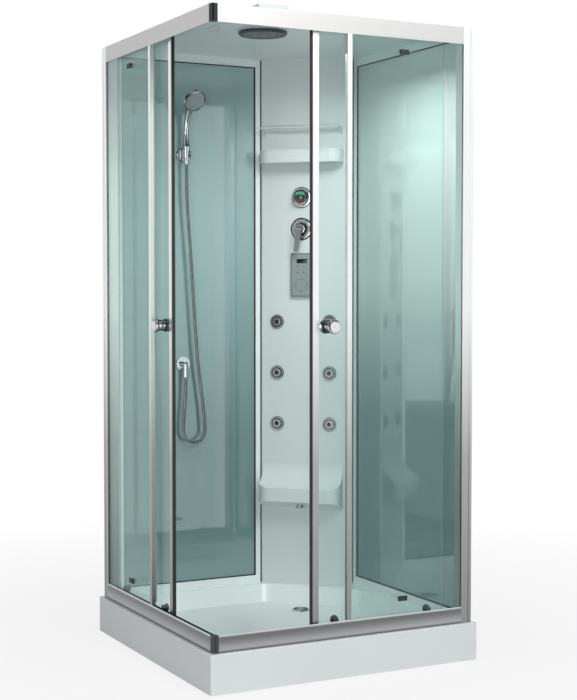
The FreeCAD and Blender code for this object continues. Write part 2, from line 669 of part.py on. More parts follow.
wheel_profile = [
    ("axle_size / 2", "0"), ("wheel_radius + wheel_flange", "0"),
    ("wheel_radius + wheel_flange", groove_side), ("wheel_radius", groove_side),
    ("wheel_radius", f"wheel_width - {groove_side}"),
    ("wheel_radius + wheel_flange", f"wheel_width - {groove_side}"),
    ("wheel_radius + wheel_flange", "wheel_width"), ("axle_size / 2", "wheel_width"),
]
for count, (x, track, level) in enumerate(roller_places):
    z = f"({track} + wheel_gap + wheel_radius)"
    holes.append(rod(f"roller_hole{count}", (x, door_outer, z), "roller_hole / 2", "door_glass", inward))
    brackets.append(turned(f"bracket{count}", bracket_profile, (x, door_outer, z), inward))
    wheels.append((level, turned(f"wheel{count}", wheel_profile, (x, wheel_start, z), inward)))
door_sheet = box("door_sheet", (door_web, door_outer, door_bottom), (door_end, door_inner, door_top))
door_glass = cut("front_door_glass", door_sheet, fuse("door_holes", *holes))
brackets = group("front_brackets", *brackets)

grip_face = f"({door_outer} - door_profile_face)"
grip_back = f"({door_inner} + door_profile_face)"
grip_end = f"({lead} + door_profile_width)"
grip_outline = [(lead, grip_face), (grip_end, grip_face), (grip_end, door_outer), (door_web, door_outer),
                (door_web, door_inner), (grip_end, door_inner), (grip_end, grip_back), (lead, grip_back)]
grip_low = f"({door_bottom} - door_profile_overhang)"
door_profile = extruded("door_stile", "XY_Plane", grip_outline, grip_low, f"{door_top} - {grip_low}")
seal_middle = f"({door_outer} + door_glass / 2)"
door_seal = box("door_magnet",
                (f"{lead} - door_seal_width", f"{seal_middle} - door_seal_depth / 2", grip_low),
                (lead, f"{seal_middle} + door_seal_depth / 2", door_top))

knob_profile = [
    ("0", "0"), ("knob_barrel / 2 + 2.5", "0"), ("knob_barrel / 2 + 2.5", "3"), ("knob_barrel / 2", "4.5"),
    ("knob_barrel / 2", "knob_length * 0.34"), ("knob_barrel / 2 - 1.5", "knob_length * 0.37"),
    ("knob_barrel / 2 - 1.5", "knob_length * 0.42"), ("knob_barrel / 2", "knob_length * 0.45"),
    ("knob_barrel / 2", "knob_length - 13"), ("knob_cap / 2 - 2", "knob_length - 11.5"),
    ("knob_cap / 2", "knob_length - 9"), ("knob_cap / 2", "knob_length - 4"),
    ("knob_cap / 2 - 2", "knob_length - 2"), ("knob_cap / 3", "knob_length - 0.7"), ("0", "knob_length"),
]
knob_outer = turned("knob_outer", knob_profile, (knob_x, door_outer, "knob_height"), V(0, -1, 0))
disc_profile = [
    ("0", "0"), ("knob_cap / 2 - 3", "0"), ("knob_cap / 2 - 3", "knob_disc * 0.3"),
    ("knob_cap / 2", "knob_disc * 0.45"), ("knob_cap / 2", "knob_disc * 0.8"),
    ("knob_cap / 2 - 2", "knob_disc"), ("0", "knob_disc"),
]
knob_inner = turned("knob_inner", disc_profile, (knob_x, door_inner, "knob_height"), inward)
knob_stud = rod("knob_stud", (knob_x, door_outer, "knob_height"), "knob_hole / 2 - fit_gap", "door_glass", inward)
knob = group("front_knob", knob_outer, knob_inner, knob_stud)

for piece, front in (("door_glass", door_glass), ("door_profile", door_profile), ("door_seal", door_seal),
                     ("door_knob", knob), ("roller_brackets", brackets)):
    keep("front_" + piece, front)
    keep("side_" + piece, mirrored("side_" + piece, front))
for place_name, (level, wheel) in zip(("lead", "rear", "lead", "rear"), wheels):
    keep(f"front_{level}_roller_{place_name}", wheel)
    keep(f"side_{level}_roller_{place_name}", mirrored(f"side_{level}_roller_{place_name}", wheel))

# ---- back walls ----------------------------------------------------------------------------

column_left = "(column_shift - column_width / 2)"
column_right = "(column_shift + column_width / 2)"
glass_outer = f"({wall_outer} - wall_glass_back)"
panes = []
for name, far in (("wall_frame_back", f"({wall_inner} + {column_left} * sqrt(2) - seal_gap)"),
                  ("wall_frame_right", f"({wall_inner} - {column_right} * sqrt(2) - seal_gap)")):
    near = rail_inner
    slab = box(name + "_slab", (near, wall_inner, "tray_height"), (far, wall_outer, "frame_height"))
    window = box(name + "_window", (f"{near} + wall_stile", f"{wall_inner} - 1", "tray_height + wall_bar"),
                 (f"{far} - wall_stile", f"{wall_outer} + 1", "frame_height - wall_bar"))
    bite = "wall_stile + wall_glass_bite"
    pane = box(name + "_pane",
               (f"{near} + wall_stile - wall_glass_bite", pane_face, "tray_height + wall_bar - wall_glass_bite"),
               (f"{far} - wall_stile + wall_glass_bite", glass_outer,
                "frame_height - wall_bar + wall_glass_bite"))
    frame = cut(name + "_frame", slab, window, pane)
    if name == "wall_frame_right":
        frame = mirrored(name, frame)
        pane = mirrored(name + "_glass", pane)
    keep(name, frame)
    panes.append(pane)
keep("wall_glass", group("wall_glass", *panes))

# ---- column --------------------------------------------------------------------------------


def column_plan(skin):
    """The column's plan, in its own frame: x along its face, y towards the corner."""
    wide = num("column_width") / 2 - skin
    root = math.sqrt(2)
    left_side = num(wall_outer) * root - num(column_face) + num(column_left)
    right_side = num(wall_outer) * root - num(column_face) - num(column_right)
    grow = 1 if skin else 0
    return wide, left_side + grow, right_side + grow


def column_prism(skin, low, high):
    """The upright body of the column, open towards the corner once its inside is cut."""
    wide, left_side, right_side = column_plan(skin)
    radius = num("column_round") - skin
    slant = radius * (1 - math.sqrt(0.5))
    left_side = max(left_side, radius + 1)
    edges = [
        Part.LineSegment(V(-wide, left_side, low), V(-wide, skin + radius, low)).toShape(),
        Part.Arc(V(-wide, skin + radius, low), V(-wide + slant, skin + slant, low),
                 V(-wide + radius, skin, low)).toShape(),
        Part.LineSegment(V(-wide + radius, skin, low), V(wide - radius, skin, low)).toShape(),
        Part.Arc(V(wide - radius, skin, low), V(wide - slant, skin + slant, low),
                 V(wide, skin + radius, low)).toShape(),
        Part.LineSegment(V(wide, skin + radius, low), V(wide, right_side, low)).toShape(),
        Part.LineSegment(V(wide, right_side, low), V(-wide, left_side, low)).toShape(),
    ]
    return prism(Part.Wire(edges), high - low)


def ledge_prism(skin, depth, low, high):
    """A rounded ledge that stands out from the column's face."""
    wide = num("ledge_width") / 2 - skin
    back = num("column_round") + num("column_wall") + (1 if skin else 0)
    loop = rounded_loop([(-wide, -depth + skin), (wide, -depth + skin), (wide, back), (-wide, back)],
                        num("ledge_round") / 2, low)
    radius = num("ledge_round") - skin
    block = Part.makeBox(2 * wide, depth - skin + back, high - low, V(-wide, skin - depth, low))
    corners = [e for e in block.Edges
               if abs(e.tangentAt(e.FirstParameter).z) > 0.9 and e.BoundBox.YMax < 0]
    return block.makeFillet(min(radius, depth - skin - 1), corners)


def seat_form(skin):
    """The seat: a lip, a hollow curve above it and a sloping underside."""
    depth = num("seat_depth")
    low = num("seat_height")
    lip = low + num("seat_lip")
    top = lip + num("seat_cove")
    under = low - num("seat_under")
    wall = num("column_wall")
    wide = num("ledge_width") / 2
    reach = depth - skin
    bulge = V(0, -depth * 0.28, lip + num("seat_cove") * 0.28)
    points = [V(0, skin, top), V(0, -reach + wall, lip - skin), V(0, -reach, lip - skin - wall),
              V(0, -reach, low + skin), V(0, skin, under + skin)]
    back = wall + (1 if skin else 0)
    edges = [
        Part.Arc(points[0], bulge + V(0, skin * 0.7, -skin * 0.7), points[1]).toShape(),
        Part.LineSegment(points[1], points[2]).toShape(),
        Part.LineSegment(points[2], points[3]).toShape(),
        Part.LineSegment(points[3], points[4]).toShape(),
        Part.LineSegment(points[4], V(0, back, under + skin)).toShape(),
        Part.LineSegment(V(0, back, under + skin), V(0, back, top)).toShape(),
        Part.LineSegment(V(0, back, top), points[0]).toShape(),
    ]
    section = Part.Face(Part.Wire(edges)).extrude(V(2 * wide, 0, 0))
    section.translate(V(-wide, 0, 0))
    return section.common(ledge_prism(skin, depth, under - 1, top + 1))


def column_shape():
    wall = num("column_wall")
    low = num("tray_height")
    high = num("frame_height")
    shelf_low = num(shelf_height)
    shelf_high = shelf_low + num("shelf_lip")
    form = column_prism(0, low, high)
    form = form.fuse([ledge_prism(0, num("shelf_depth"), shelf_low, shelf_high), seat_form(0)])
    hollow = column_prism(wall, low - 1, high + 1)
    hollow = hollow.fuse([
        ledge_prism(wall, num("shelf_depth"), shelf_low + wall, shelf_high - wall - num("shelf_recess")),
        seat_form(wall)])
    dish = num("shelf_rim")
    recess = ledge_prism(dish, num("shelf_depth"), shelf_high - num("shelf_recess"), shelf_high + 1)
    front_only = Part.makeBox(num("column_width"), num("shelf_depth"), num("shelf_lip") + 2,
                              V(-num("column_width") / 2, -num("shelf_depth"), shelf_low))
    shell = form.cut(hollow).cut(recess.common(front_only))
    back = V(0, 1, 0)
    depth = 2 * wall + 2
    for height in (num(diverter_height), num(mixer_height)):
        shell = shell.cut(Part.makeCylinder(num("valve_neck / 2 + fit_gap"), depth,
                                            V(num("valve_place"), -1, height), back))
    for count in range(3):
        for sign in (-1, 1):
            at = V(sign * num("jet_spread"), -1, num("jet_first") + count * num("jet_pitch"))
            shell = shell.cut(Part.makeCylinder(num("jet_neck / 2 + fit_gap"), depth, at, back))
    nozzle = V(0, -num("seat_depth") / 2, num("seat_height - seat_under"))
    shell = shell.cut(Part.makeCylinder(num("nozzle_size / 2 + fit_gap"), num("seat_lip"), nozzle))
    return shell.removeSplitter()


keep("column", feature("column", column_shape(), column_frame))


def towel_rail_shape():
    radius = num("towel_bar / 2")
    span = num("towel_span")
    high = num("frame_height - towel_below")
    low = high - num("towel_drop")
    base = num("towel_base / 2")
    reach = num("towel_reach")
    rail = Part.makeCylinder(radius, span, V(-span / 2, -reach, high), V(1, 0, 0))
    for sign in (-1, 1):
        end = V(sign * span / 2, -reach, high)
        foot = V(sign * span / 2, 0, low)
        arm = Part.makeCylinder(radius * 0.8, (end - foot).Length, foot, end - foot)
        rose = Part.makeCylinder(base, num("towel_base_thick"), foot, V(0, -1, 0))
        inside = Part.makeBox(4 * base, 2 * base, 4 * base, V(foot.x - 2 * base, 0, foot.z - 2 * base))
        rail = rail.fuse([Part.makeSphere(radius, end), arm, rose]).cut(inside)
    return rail.removeSplitter()


keep("towel_rail", feature("towel_rail", towel_rail_shape(), column_frame))

# ---- roof ----------------------------------------------------------------------------------


def roof_shape():
    low = num("frame_height")
    thick = num("roof_thick")
    near = num(f"{face} + roof_inset")
    far = num(wall_outer)
    roof = Part.makeBox(far - near, far - near, thick, V(near, near, low))
    rib = num("rib_thick")
    start = near + num("rib_place")
    stop = far - num("rib_place")
    tall = num("roof_rib")
    for x, y, width, length in ((start, start, stop - start, rib), (start, stop - rib, stop - start, rib),
                                (start, start, rib, stop - start), (stop - rib, start, rib, stop - start)):
        roof = roof.fuse(Part.makeBox(width, length, tall, V(x, y, low)))
    at = num("head_place")
    disc = Part.makeCylinder(num("disc_size") / 2, num("disc_drop"), V(at, at, low - num("disc_drop")))
    lower = [e for e in disc.Edges if e.BoundBox.ZMax < low - 1]
    disc = disc.makeFillet(num("disc_drop") / 2, lower)
    head = V(at - num("duct_shift"), at, low)
    end = V(num("duct_end"), num(wall_inner) - num("wall_stile"), low)
    run = end - head
    width = num("duct_width")
    duct = Part.makeBox(run.Length, width, num("duct_drop"), V(0, -width / 2, -num("duct_drop")))
    duct.Placement = FreeCAD.Placement(head, FreeCAD.Rotation(V(1, 0, 0), run))
    return roof.fuse([disc, duct]).removeSplitter()


keep("roof", feature("roof", roof_shape()))

head_top = "(frame_height - disc_drop)"
head_profile = [
    ("0", "0"), ("head_size / 2", "0"), ("head_size / 2", "-head_drop * 0.6"),
    ("head_size / 2 - 4", "-head_drop"), ("head_size / 2 - 9", "-head_drop"),
    ("head_size / 2 - 11", "-head_drop * 0.75"), ("0", "-head_drop * 0.75"),
]
keep("rain_head", turned("rain_head", head_profile, ("head_place", "head_place", head_top), V(0, 0, 1)))


def housing_shape():
    at = num("head_place")
    wide, long, tall = num("housing_width"), num("housing_length"), num("housing_height")
    wall = num("housing_wall")
    low = num("frame_height + roof_thick")
    shell = Part.makeBox(wide, long, tall, V(at - wide / 2, at - long / 2, low))
    rounded = [e for e in shell.Edges if e.BoundBox.ZMax > low + 1]
    shell = shell.makeFillet(2 * wall, rounded)
    return shell.cut(Part.makeBox(wide - 2 * wall, long - 2 * wall, tall - wall,
                                  V(at - wide / 2 + wall, at - long / 2 + wall, low)))


keep("overhead_housing", feature("overhead_housing", housing_shape()))

# ---- jets ----------------------------------------------------------------------------------

seat_radius = "(jet_ball / 2 + fit_gap)"
body_profile = [
    (seat_radius, "jet_ring_height"), ("jet_ring * 0.32", "jet_ring_height"),
    ("jet_ring * 0.33", "jet_ring_height - jet_groove"), ("jet_ring * 0.38", "jet_ring_height - jet_groove"),
    ("jet_ring * 0.39", "jet_ring_height"), ("jet_ring * 0.44", "jet_ring_height"),
    ("jet_ring / 2", "jet_ring_height / 3"), ("jet_ring / 2", "0"), ("jet_neck / 2", "0"),
    ("jet_neck / 2", "-column_wall"), ("jet_neck / 2 + 4", "-column_wall"),
    ("jet_neck / 2 + 4", "-jet_depth"), ("0", "-jet_depth"), ("0", "-jet_depth * 0.7"),
    (seat_radius, "-jet_depth * 0.7"),
]
bodies = []
for count in range(6):
    sign = "-" if count < 3 else ""
    spot = on_column(f"{sign}jet_spread", "0", f"jet_first + {count % 3} * jet_pitch")
    bodies.append(turned(f"jet_body{count}", body_profile, spot, out))
    ball = doc.addObject("Part::Sphere", f"jet_ball{count}")
    ball.setExpression("Radius", bound("jet_ball / 2"))
    ball.Angle1 = -60
    ball.Angle2 = 35
    centre = on_column(f"{sign}jet_spread", "-jet_ball_place", f"jet_first + {count % 3} * jet_pitch")
    place(ball, centre, FreeCAD.Rotation(V(0, 0, 1), out))
    tip = turned(f"jet_tip{count}", [("0", "0"), ("jet_ball / 5", "0"), ("jet_ball / 5", "jet_ball * 0.39"),
                                     ("jet_ball / 9", "jet_ball * 0.43"), ("0", "jet_ball * 0.43")], centre, out)
    keep(f"jet_nozzle_{count + 1}", fuse(f"jet_nozzle_{count + 1}", ball, tip))
keep("jet_bodies", group("jet_bodies", *bodies))

# ---- diverter and mixer --------------------------------------------------------------------

rings, valves = [], []
for name, height, size in (("diverter", diverter_height, "diverter_ring"),
                           ("mixer", mixer_height, "mixer_ring")):
    spot = on_column("valve_place", "0", height)
    ring_profile = [
        ("valve_neck / 2 + fit_gap", "0"), (f"{size} / 2", "0"), (f"{size} / 2", "ring_height * 0.4"),
        (f"{size} / 2 - 3", "ring_height * 0.9"), (f"{size} / 2 - 8", "ring_height"),
        ("valve_neck / 2 + fit_gap", "ring_height"),
    ]
    rings.append(turned(name + "_ring", ring_profile, spot, out))
    valve_profile = [
        ("shaft_size / 2", "ring_height - 1"), ("valve_neck / 2", "ring_height - 1"),
        ("valve_neck / 2", "-column_wall"), ("valve_size / 2", "-column_wall"),
        ("valve_size / 2", "-valve_depth"), ("0", "-valve_depth"), ("0", "-shaft_length - 2"),
        ("shaft_size / 2", "-shaft_length - 2"),
    ]
    valves.append(turned(name + "_valve", valve_profile, spot, out))
keep("valve_rings", group("valve_rings", *rings))
keep("valve_bodies", group("valve_bodies", *valves))

knob_low = "(ring_height + fit_gap)"
spindle = "(shaft_size / 2 - running_gap)"
diverter_spot = on_column("valve_place", "0", diverter_height)
diverter_profile = [
    ("0", "-shaft_length"), (spindle, "-shaft_length"), (spindle, knob_low), ("diverter_ring * 0.36", knob_low),
    ("diverter_ring * 0.38", f"{knob_low} + 4"), ("diverter_ring * 0.36", f"{knob_low} + 11"),
    ("dome_size / 2 + 1", f"{knob_low} + 13"), ("0", f"{knob_low} + 13"),
]
dome_profile = [
    ("0", f"{knob_low} + 13"), ("dome_size / 2", f"{knob_low} + 13"),
    ("dome_size / 2", f"{knob_low} + 13 + dome_height * 0.35"),
    ("dome_size * 0.43", f"{knob_low} + 13 + dome_height * 0.65"),
    ("dome_size * 0.28", f"{knob_low} + 13 + dome_height * 0.92"), ("0", f"{knob_low} + 13 + dome_height"),
]
keep("diverter_knob", group("diverter_knob",
                            turned("diverter_base", diverter_profile, diverter_spot, out),
                            turned("diverter_dome", dome_profile, diverter_spot, out)))


def mixer_frame():
    """The mixer's own frame: x along the lever's pin, y into the column, z up the lever."""
    spot = V(*(num(text) for text in on_column("valve_place", "0", mixer_height)))
    lean = FreeCAD.Rotation(V(0, 1, 0), num("lever_turn"))
    return FreeCAD.Placement(spot, column_turn.multiply(lean))


def pivot_place():
    """How far the lever's pin stands off the column's face."""
    return num(f"{knob_low} + hub_length + fit_gap + lever_barrel / 2")


def mixer_hub_shape():
    start = num(knob_low)
    length = num("hub_length")
    radius = num("hub_size / 2")
    front = V(0, -1, 0)
    hub = Part.makeCylinder(radius, length, V(0, -start, 0), front)
    hub = hub.makeFillet(3, [e for e in hub.Edges if e.BoundBox.YMax < -start - length + 0.1])
    hub = hub.fuse(Part.makeCylinder(num(spindle), start + num("shaft_length"),
                                     V(0, num("shaft_length"), 0), front))
    inner = num("lever_width / 2 + fit_gap")
    thick = num("ear_width")
    tall = num("lever_barrel / 2") - 1
    pivot = pivot_place()
    for sign in (-1, 1):
        x = inner if sign > 0 else -inner - thick
        ear = Part.makeBox(thick, pivot - start - length + 1, 2 * tall, V(x, -pivot, -tall))
        tip = Part.makeCylinder(tall, thick, V(x, -pivot, 0), V(1, 0, 0))
        hub = hub.fuse([ear, tip])
    pin = Part.makeCylinder(num("pin_size / 2 - running_gap"), 2 * inner, V(-inner, -pivot, 0), V(1, 0, 0))
    return hub.fuse(pin).removeSplitter()


def mixer_lever_shape():
    wide = num("lever_width")
    pivot = pivot_place()
    radius = num("lever_barrel / 2")
    long = num("lever_length")
    thick = num("lever_thick")
    barrel = Part.makeCylinder(radius, wide, V(-wide / 2, -pivot, 0), V(1, 0, 0))
    arm = Part.makeBox(wide, thick, long, V(-wide / 2, -pivot - thick / 2, -long))
    tip = [e for e in arm.Edges if e.BoundBox.ZMax < -long + 0.1]
    arm = arm.makeFillet(2, tip)
    bore = Part.makeCylinder(num("pin_size / 2"), wide, V(-wide / 2, -pivot, 0), V(1, 0, 0))
    return barrel.fuse(arm).removeSplitter().cut(bore)


keep("mixer_hub", feature("mixer_hub", mixer_hub_shape(), mixer_frame()))
keep("mixer_lever", feature("mixer_lever", mixer_lever_shape(), mixer_frame()))


def control_panel_shape():
    wide, tall, deep = num("panel_width"), num("panel_height"), num("panel_depth")
    low = num("frame_height - panel_below")
    panel = Part.makeBox(wide, deep, tall, V(num("panel_place") - wide / 2, -deep, low))
    corners = [e for e in panel.Edges if abs(e.tangentAt(e.FirstParameter).y) > 0.9]
    panel = panel.makeFillet(num("panel_round"), corners)
    front = [e for e in panel.Edges if e.BoundBox.YMax < -deep + 0.1]
    return panel.makeFillet(num("panel_round") * 0.3, front)


keep("control_panel", feature("control_panel", control_panel_shape(), column_frame))

# ---- hand shower ---------------------------------------------------------------------------

axis_y = f"({pane_face} - handset_off)"
cone_base = f"({holder_height} - cone_length * 0.4)"
cone_end = f"({cone_base} + cone_length)"


def handset_shape():
    x, y = num("hose_place"), num(axis_y)
    base, end = num(cone_base), num(cone_end)
    slope = (num("cone_high") - num("cone_low")) / 2
    nut_low = base - num("handset_nut_length")
    nut = Part.makeCylinder(num("handset_nut / 2"), base - nut_low, V(x, y, nut_low))
    cone = Part.makeCone(num("cone_low / 2"), num("cone_low / 2") + slope, end - base, V(x, y, base))
    turn = math.radians(num("handset_turn"))
    tilt = math.radians(num("handset_tilt"))
    ahead = V(math.sin(turn), -math.cos(turn), 0)
    normal = V(ahead.x * math.cos(tilt), ahead.y * math.cos(tilt), -math.sin(tilt))
    reach, rise = num("head_reach"), num(f"{holder_height} + head_rise")
    head = V(x + ahead.x * reach, y + ahead.y * reach, rise)
    depth, radius = num("spray_depth"), num("spray_size / 2")
    back = head - normal * depth
    disc = Part.makeCylinder(radius, depth * 0.45, head - normal * depth * 0.45, normal)
    disc = disc.fuse(Part.makeCone(radius * 0.5, radius, depth * 0.55, back, normal))
    # Each ring: shares of the head's reach and of its rise, share of the cone's width, degrees of lean.
    neck = [(0, 0, 1, 0), (0, 0.42, 0.78, 0), (0.17, 0.68, 0.85, 20), (0.53, 0.914, 0.89, 49)]
    rings = []
    for forward, upward, wide, lean in neck:
        ring = Part.Wire(Part.makeCircle(num("cone_high / 2") * wide))
        ring.rotate(V(0, 0, 0), V(-ahead.y, ahead.x, 0), lean)
        ring.translate(V(x + ahead.x * reach * forward, y + ahead.y * reach * forward,
                         end + (rise - end) * upward))
        rings.append(ring)
    handle = Part.makeLoft(rings, True, False)
    return nut.fuse([cone, handle, disc]).removeSplitter()


keep("handset", feature("handset", handset_shape()))


def holder_shape():
    x, y, wall = num("hose_place"), num(axis_y), num(pane_face)
    middle = num(holder_height)
    tall = num("holder_ring_height")
    low = middle - tall / 2
    rose = Part.makeCylinder(num("holder_rose / 2"), 8, V(x, wall, middle), V(0, -1, 0))
    rose = rose.makeFillet(4, [e for e in rose.Edges if e.BoundBox.YMax < wall - 7])
    arm = Part.makeCylinder(num("holder_ring / 4"), wall - y, V(x, wall, middle), V(0, -1, 0))
    ring = Part.makeCylinder(num("holder_ring / 2"), tall, V(x, y, low))
    spread = (num("cone_high") - num("cone_low")) / 2 / num("cone_length")
    start = num("cone_low / 2") + spread * (low - num(cone_base)) + num("fit_gap")
    bore = Part.makeCone(start, start + spread * tall, tall, V(x, y, low))
    slot = Part.makeBox(num("hose_size + 3"), num("holder_ring"), tall,
                        V(x - num("hose_size + 3") / 2, y - num("holder_ring"), low))
    return rose.fuse([arm, ring]).removeSplitter().cut(bore).cut(slot)


keep("handset_holder", feature("handset_holder", holder_shape()))

hose_top = f"({cone_base} - handset_nut_length)"
outlet_nut_low = "(outlet_height - outlet_drop)"
outlet_y = f"({pane_face} - outlet_off)"


def outlet_shape():
    x, y, wall = num("outlet_place"), num(outlet_y), num(pane_face)
    high = num("outlet_height")
    nut_radius = num("outlet_nut / 2")
    pipe = nut_radius - 1
    drop = num("outlet_spout")
    rose = Part.makeCylinder(num("outlet_rose / 2"), 6, V(x, wall, high), V(0, -1, 0))
    stem = Part.makeCylinder(pipe, wall - y, V(x, wall, high), V(0, -1, 0))
    elbow = Part.makeSphere(pipe, V(x, y, high))
    spout = Part.makeCylinder(pipe, drop, V(x, y, high - drop))
    nut = Part.makeCylinder(nut_radius, num("outlet_nut_length"), V(x, y, num(outlet_nut_low)))
    return rose.fuse([stem, elbow, spout, nut]).removeSplitter()


keep("wall_outlet", feature("wall_outlet", outlet_shape()))

# The hose hangs from the handset, turns in a loop below the seat's cove and climbs to the outlet.
# Each point is along X from the handset's axis, and a share of the height from the loop's lowest
# points up to the hose's top, or to the outlet's nut. Y runs evenly between the two straight ends.
outlet_shift = num("outlet_place - hose_place")
hose_down = [
    (0, 1), (0, 0.917), (4, 0.831), (12, 0.735), (21, 0.62), (28, 0.505), (36, 0.399), (43, 0.308),
    (54, 0.222), (64, 0.154), (72, 0.087), (76, 0.026), (49, 0),
]
hose_up = [(12, 0), (-15, 0.11), (-12, 0.37), (-6, 0.634), (outlet_shift, 0.817), (outlet_shift, 1)]
hose_points = []
for points, top in ((hose_down, hose_top), (hose_up, outlet_nut_low)):
    low = num("hose_low")
    hose_points += [(across, low + share * (num(top) - low)) for across, share in points]
hose_route = []
for count, (across, height) in enumerate(hose_points):
    part_way = (count - 1) / (len(hose_points) - 3)
    slant = max(min(part_way, 1), 0) * (num(outlet_y) - num(axis_y))
    hose_route.append(V(num("hose_place") + across, num(axis_y) + slant, height))


def hose_shape():
    radius = num("hose_size / 2")
    edges, radii, length = [], [], 0
    here = hose_route[0]
    for before, corner, after in zip(hose_route, hose_route[1:], hose_route[2:]):
        back = (before - corner).normalize()
        on = (after - corner).normalize()
        half_turn = (math.pi - back.getAngle(on)) / 2
        reach = 0.45 * min((before - corner).Length, (after - corner).Length)
        bend = reach / math.tan(half_turn)
        centre = corner + (back + on).normalize() * (bend / math.cos(half_turn))
        middle = centre + (corner - centre).normalize() * bend
        enter, leave = corner + back * reach, corner + on * reach
        edges.append(Part.LineSegment(here, enter).toShape())
        edges.append(Part.Arc(enter, middle, leave).toShape())
        length += (enter - here).Length + 2 * half_turn * bend
        radii.append(bend)
        here = leave
    edges.append(Part.LineSegment(here, hose_route[-1]).toShape())
    length += (hose_route[-1] - here).Length
    path = Part.Wire(edges)
    first = hose_route[1] - hose_route[0]
    section = Part.Wire(Part.makeCircle(radius, hose_route[0], first))
    tube = path.makePipeShell([section], True, False)
    expected = math.pi * radius ** 2 * length
    print(f"hose length {length:.0f} mm, least bend {min(radii):.1f} mm, "
          f"bends {[round(r) for r in radii]}, volume ratio {tube.Volume / expected:.5f}")
    return tube


keep("shower_hose", feature("shower_hose", hose_shape()))

# ---- pipes and steam generator behind the column -------------------------------------------


def pipework_shape():
    radius = num("pipe_size / 2")
    elbow = num("elbow_size / 2")
    deep = num("pipe_depth")
    wide = num("jet_spread")
    low = num("jet_first")
    pitch = num("jet_pitch")
    back = num("jet_depth")
    valve_x = num("valve_place")
    valve_back = num("valve_depth")
    mixer, diverter = num(mixer_height), num(diverter_height)
    top = low + 2 * pitch
    pieces = []
    tees = []

    def pipe(*points):
        pieces.extend(pipe_run(list(points), radius, elbow))

    for sign in (-1, 1):
        for count in range(3):
            height = low + count * pitch
            tees.append(V(sign * wide, deep, height))
            pipe(V(sign * wide, back, height), tees[-1])
        pipe(V(sign * wide, deep, low), V(sign * wide, deep, top))
    pipe(V(-wide, deep, top), V(wide, deep, top))
    pipe(V(valve_x, deep, top), V(valve_x, deep, num("frame_height")))
    tees.append(V(valve_x, deep, top))
    spread = num("inlet_spread")
    low_end = num("inlet_height")
    for height in (diverter, mixer):
        tees.append(V(valve_x, deep, height))
        pipe(V(valve_x, valve_back, height), tees[-1])
    pipe(V(valve_x - spread, deep, mixer), V(valve_x + spread, deep, mixer))
    for sign in (-1, 1):
        end = V(valve_x + sign * spread, deep, low_end)
        corner = V(end.x, deep, mixer)
        pipe(corner, end)
        tees.extend([corner, V(end.x, deep, top)])
        pieces.append(Part.makeCylinder(num("inlet_size / 2"), num("inlet_length"), end))
    pieces += [Part.makeSphere(elbow, tee) for tee in tees]
    return pieces[0].fuse(pieces[1:]).removeSplitter()


keep("pipework", feature("pipework", pipework_shape(), column_frame))


def steam_shape():
    wide, deep, tall = num("steam_width"), num("steam_depth"), num("steam_height")
    low = num("tray_height")
    x = num("steam_place")
    near = num("steam_gap")
    tank = Part.makeBox(wide, deep, tall, V(x - wide / 2, near, low))
    tank = tank.makeFillet(8, [e for e in tank.Edges if e.BoundBox.ZMax > low + 1])
    radius = num("pipe_size / 2")
    nozzle_y = -num("seat_depth") / 2
    seat_low = num("seat_height - seat_under")
    inside = num("seat_height + column_wall * 3")
    rise = pipe_run([V(0, near + deep / 3, low + tall - 1), V(0, near + deep / 3, inside + 12),
                     V(0, nozzle_y, inside + 12), V(0, nozzle_y, inside - 1)], radius, num("elbow_size / 2"))
    nozzle = Part.makeCylinder(num("nozzle_size / 2"), inside - seat_low - 6, V(0, nozzle_y, seat_low + 6))
    return tank.fuse(rise + [nozzle]).removeSplitter()


keep("steam_generator", feature("steam_generator", steam_shape(), column_frame))

# ---- check and write -----------------------------------------------------------------------

doc.recompute()
for obj in doc.Objects:
    if "Invalid" in obj.State or "Error" in obj.State:
        raise RuntimeError(f"{obj.Name} did not build: {obj.State}")
os.makedirs("parts", exist_ok=True)
for name, obj in nodes.items():
    shape = obj.Shape
    if shape.isNull() or not shape.isValid() or not shape.Solids:
        raise RuntimeError(f"{name} is not a valid solid")
for name, obj in nodes.items():
    obj.Shape.exportStep(f"parts/{name}.step")
print(f"{len(nodes)} sub-parts, {sum(len(obj.Shape.Solids) for obj in nodes.values())} solids")
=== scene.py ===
import math
import bpy
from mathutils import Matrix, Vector


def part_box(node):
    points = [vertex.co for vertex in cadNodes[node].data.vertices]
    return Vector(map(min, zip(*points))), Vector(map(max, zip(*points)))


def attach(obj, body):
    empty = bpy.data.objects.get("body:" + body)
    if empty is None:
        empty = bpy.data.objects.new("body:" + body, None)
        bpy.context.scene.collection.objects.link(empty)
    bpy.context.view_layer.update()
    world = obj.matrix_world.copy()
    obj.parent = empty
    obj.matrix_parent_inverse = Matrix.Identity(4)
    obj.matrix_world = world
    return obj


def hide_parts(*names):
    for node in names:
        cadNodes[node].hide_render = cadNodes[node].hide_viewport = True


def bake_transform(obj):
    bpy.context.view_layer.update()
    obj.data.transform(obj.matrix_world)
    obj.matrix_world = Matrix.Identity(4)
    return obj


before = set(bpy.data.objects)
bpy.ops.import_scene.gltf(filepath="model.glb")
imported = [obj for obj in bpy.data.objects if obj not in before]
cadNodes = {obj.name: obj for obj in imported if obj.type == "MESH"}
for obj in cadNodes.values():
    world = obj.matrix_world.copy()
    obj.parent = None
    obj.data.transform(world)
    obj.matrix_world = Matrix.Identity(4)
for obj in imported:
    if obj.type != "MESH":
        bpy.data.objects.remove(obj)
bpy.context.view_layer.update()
print("frame loaded:", len(cadNodes), "nodes")

# The column stands across the corner: along runs over its face to the right, outward leaves it.
along = Vector((math.sqrt(0.5), -math.sqrt(0.5), 0))
outward = Vector((-math.sqrt(0.5), -math.sqrt(0.5), 0))
up = Vector((0, 0, 1))


